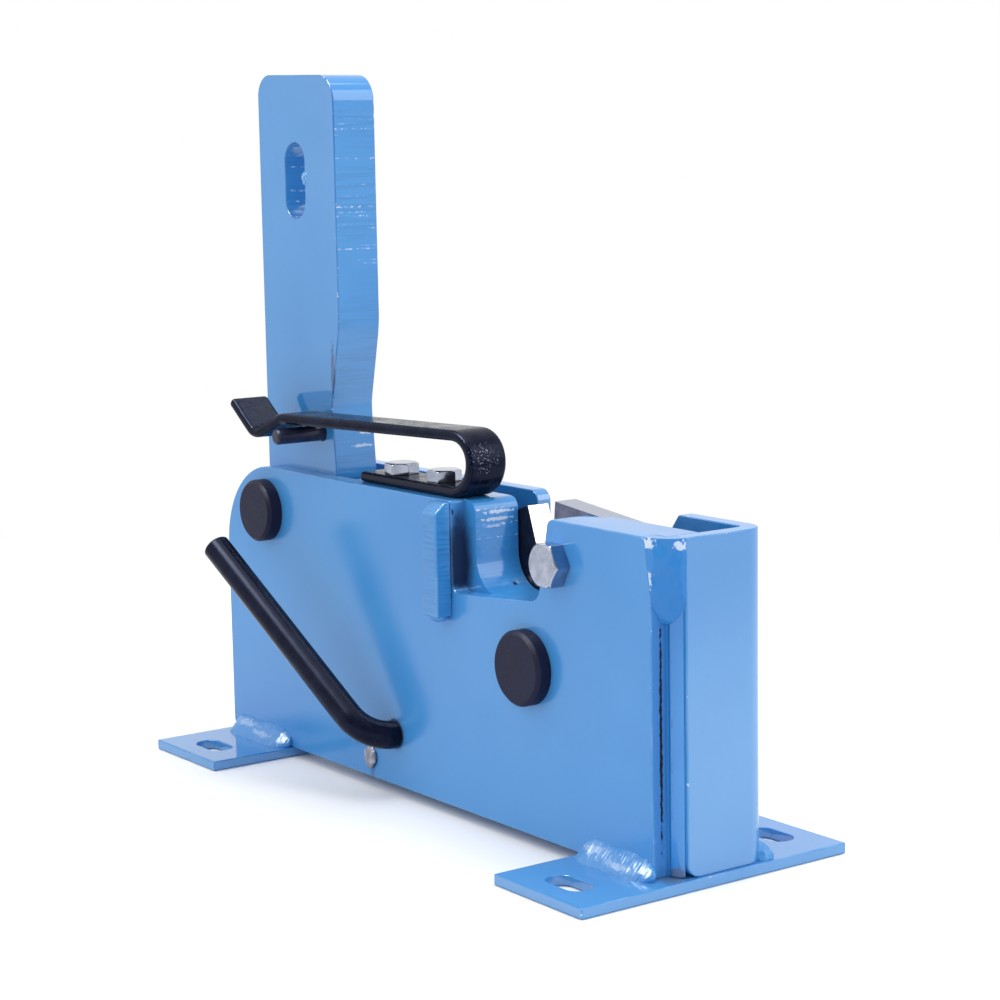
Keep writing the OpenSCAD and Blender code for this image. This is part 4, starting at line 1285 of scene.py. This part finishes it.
@dataclass
class Blob:
    """A lump of weld, filler or paint, in millimetres.

    Args:
        name: Name of the piece.
        centre: Middle of the lump.
        radii: Reach along X, Y and Z.
        turn: Turn about Z in degrees.
        rough: Sizes and heights of its own lumps.
        finish: Finish of the lump.
        slot: Slot of the record that it belongs to; not used.
        body: Body that carries it.
        cuts: Planes, as a point and an outward direction, that cut it off.
    """

    name: str
    centre: Triple
    radii: Triple
    turn: float = 0.0
    rough: tuple[Pair, ...] = ((4.0, 0.8),)
    finish: Finish = WELD_ENAMEL
    slot: Slot = Slot.ENAMEL
    body: Body = Body.FRAME
    cuts: tuple[tuple[Triple, Triple], ...] = ()

    def build(self) -> Piece:
        """Presses a ball into the lump's shape and roughens it.

        Returns:
            The lump.
        """
        middle = metres(self.centre)
        obj = start(self.name, bpy.ops.mesh.primitive_ico_sphere_add, subdivisions=5, radius=MM,
                    location=middle)
        with editing(obj):
            bpy.ops.transform.resize(value=self.radii, center_override=middle)
            bpy.ops.transform.rotate(value=math.radians(-self.turn), orient_axis="Z", center_override=middle)
        for size, height in self.rough:
            lumps(obj, size, height)
        for place, outward in self.cuts:
            trim(obj, place, outward)
        smooth(obj, 50)
        obj.data.materials.append(self.finish.material())
        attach(obj, self.body.value)
        return obj


@dataclass
class Welds:
    """Fillet welds at the feet, the front seam with its filler and small lumps, in millimetres."""

    near_y: float = -27.5
    far_y: float = 31.0
    seam_r: float = 1.2
    filler_y: float = -27.3
    filler_x: float = 183.8
    filler_z: float = 152.9
    tack_z: float = 3.5

    def build(self) -> list[Piece]:
        """Builds the welds, which stand for the two weld nodes, and the lumps.

        Returns:
            The pieces.
        """
        beads = [
            Bead("weld_rear_near", -184.0, -126.0, self.near_y, -1, seed=3).build(),
            Bead("weld_front_near", 124.5, 176.0, self.near_y, -1, seed=5).build(),
            Bead("weld_rear_far", -183.0, -128.0, self.far_y, 1, seed=8).build(),
            Bead("weld_front_far", 128.0, 171.0, self.far_y, 1, seed=11).build(),
        ]
        for bead in beads:
            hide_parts("base_welds")
        seam = Dressed("seam_weld", Slot.ENAMEL, SEAM_ENAMEL, self.seam_r, steps=3).build()
        low = ((0, 0, self.tack_z), (0, 0, -1))
        edges = (((0, self.filler_y, 0), (0, -1, 0)), ((self.filler_x, 0, 0), (1, 0, 0)),
                 ((0, 0, self.filler_z), (0, 0, 1)))
        tacks = [
            Blob("seam_filler", (175.8, -18.8, 142), (6.2, 13.6, 27), turn=-38.9,
                 rough=((7.0, 2.6), (2.6, 1.1)), finish=FILLER_ENAMEL, cuts=edges).build(),
            Blob("web_tack", (177.5, 29.0, 5), (7.5, 6.0, 7), turn=20, rough=((6.0, 3.5),),
                 cuts=(low,)).build(),
            Blob("rib_tack", (21.5, -31.5, 98), (5.5, 3.6, 3.2)).build(),
            Blob("slot_drip", (-109.6, -17.4, 303.0), (3.0, 2.7, 4.0), rough=((2.6, 1.3), (1.3, 0.6)),
                 finish=DRIP_ENAMEL, body=Body.LEVER).build(),
        ]
        plug = Blob("plug_lump", (-46.5, -28.0, 15.5), (4.6, 2.4, 5.6), rough=((4.0, 2.2),), finish=PLUG_GREY,
                    slot=Slot.ZINC).build()
        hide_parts("rod_plug")
        return [*beads, seam, *tacks, plug]


@dataclass(frozen=True)
class Lamp:
    """A square soft lamp, in metres.

    Args:
        name: Name of the lamp.
        place: Where it hangs.
        size: Length of its sides.
        power: Its power in watts.
        gloss_only: Whether it shows only in reflections, as a lit card does.
    """

    name: str
    place: Triple
    size: float
    power: float
    gloss_only: bool = False

    def build(self, target: Triple) -> None:
        """Hangs the lamp.

        Args:
            target: Point that it looks at.
        """
        data = bpy.data.lights.new(self.name, "AREA")
        data.energy, data.size = self.power, self.size
        obj = bpy.data.objects.new(self.name, data)
        bpy.context.scene.collection.objects.link(obj)
        obj.location = self.place
        obj.visible_diffuse = not self.gloss_only
        obj.rotation_euler = (Vector(target) - Vector(self.place)).to_track_quat("-Z", "Y").to_euler()


@dataclass
class Studio:
    """White surroundings, soft lamps, pale floor and the camera, in metres."""

    eye: Triple = (0.93198, -0.64870, 0.31214)
    right: Triple = (0.586341, 0.809875, -0.017542)
    up: Triple = (-0.102984, 0.096004, 0.990039)
    back: Triple = (0.803492, -0.578694, 0.139696)
    sensor: float = 36.0
    lens: float = 85.156
    shift: Pair = (-0.0023, -0.0093)
    clip: Pair = (0.05, 50.0)
    sky: float = 0.93
    open_side: Triple = (0.80, -0.58, 0.1)
    open_range: Pair = (0.5, 0.85)
    open_dim: float = 0.8
    white: Triple = (1.0, 1.0, 1.0)
    floor_grey: Triple = (0.8, 0.8, 0.8)
    floor_size: float = 40.0
    floor_z: float = -0.0002
    floor_fade: Pair = (0.35, 0.95)
    target: Triple = (0, 0, 0.12)
    lamps: tuple[Lamp, ...] = (
        Lamp("lamp_above", (0.1, 0.1, 1.7), size=1.1, power=10),
        Lamp("lamp_near_left", (-0.9, -1.5, 1.0), size=2.2, power=6),
        Lamp("lamp_back_right", (1.35, 1.1, 1.1), size=1.3, power=10),
        Lamp("card_near", (-0.1, -0.69, 1.24), size=0.6, power=34, gloss_only=True),
    )

    def camera(self) -> None:
        """Sets the camera where the photographer stood."""
        data = bpy.data.cameras.new("camera")
        data.sensor_width, data.lens = self.sensor, self.lens
        data.shift_x, data.shift_y = self.shift
        data.clip_start, data.clip_end = self.clip
        obj = bpy.data.objects.new("camera", data)
        bpy.context.scene.collection.objects.link(obj)
        axes = Matrix((self.right, self.up, self.back)).transposed().to_4x4()
        obj.matrix_world = Matrix.Translation(self.eye) @ axes
        bpy.context.scene.camera = obj

    def seen(self, wiring: Wiring) -> Socket:
        """Wires a mask of what the camera, a reflection or clear glass sees.

        Args:
            wiring: Wiring of the surroundings.

        Returns:
            The mask.
        """
        path = wiring.add("ShaderNodeLightPath").outputs
        either = wiring.math("MAXIMUM", path["Is Camera Ray"], path["Is Glossy Ray"])
        return wiring.math("MAXIMUM", either, path["Is Transmission Ray"])

    def world(self) -> None:
        """Makes white surroundings, open on one side, that light the cutter at a plain level."""
        world = bpy.data.worlds.new("white_room")
        wiring = emptied(world)
        direction = wiring.add("ShaderNodeTexCoord").outputs["Generated"]
        sides = {0: direction, 1: self.open_side}
        toward = wiring.add("ShaderNodeVectorMath", sides, operation="DOT_PRODUCT").outputs["Value"]
        dark = wiring.span(toward, *self.open_range, 0.0, self.open_dim)
        dim = wiring.times(dark, wiring.add("ShaderNodeLightPath").outputs["Is Glossy Ray"])
        strength = wiring.math("SUBTRACT", wiring.span(self.seen(wiring), 0.0, 1.0, self.sky, 1.0), dim)
        light = wiring.add("ShaderNodeBackground", {"Color": (*self.white, 1.0), "Strength": strength})
        wiring.add("ShaderNodeOutputWorld", {"Surface": light.outputs[0]})
        bpy.context.scene.world = world

    def floor(self) -> None:
        """Lays a wide pale floor that keeps the cutter's shadow."""
        obj = start("floor", bpy.ops.mesh.primitive_plane_add, size=self.floor_size,
                    location=(0, 0, self.floor_z))
        material = bpy.data.materials.new("pale_floor")
        wiring = emptied(material)
        seen = self.seen(wiring)
        near = wiring.add("ShaderNodeBsdfDiffuse", {"Color": wiring.mix(seen, self.floor_grey, self.white)})
        far = wiring.add("ShaderNodeEmission", {"Color": (*self.white, 1.0), "Strength": 1.0})
        share = wiring.times(wiring.span(wiring.length(wiring.place()), *self.floor_fade), seen)
        both = wiring.add("ShaderNodeMixShader", {0: share, 1: near.outputs[0], 2: far.outputs[0]})
        wiring.add("ShaderNodeOutputMaterial", {"Surface": both.outputs[0]})
        obj.data.materials.append(material)

    def build(self) -> None:
        """Builds the studio."""
        self.camera()
        self.world()
        self.floor()
        for lamp in self.lamps:
            lamp.build(self.target)
        bpy.context.scene.view_settings.view_transform = "Standard"


def main() -> None:
    """Builds the studio and every piece of the cutter, and logs each piece's face count."""
    logging.basicConfig(level=logging.INFO, format="%(name)s: %(message)s")
    Studio().build()
    for group in (PlateWork(), Levers(), Fasteners(), LatchStrip(), Welds()):
        for piece in group.build():
            LOG.info("%s: %d faces", piece.name, len(piece.data.polygons))


if __name__ == "__main__":
    main()
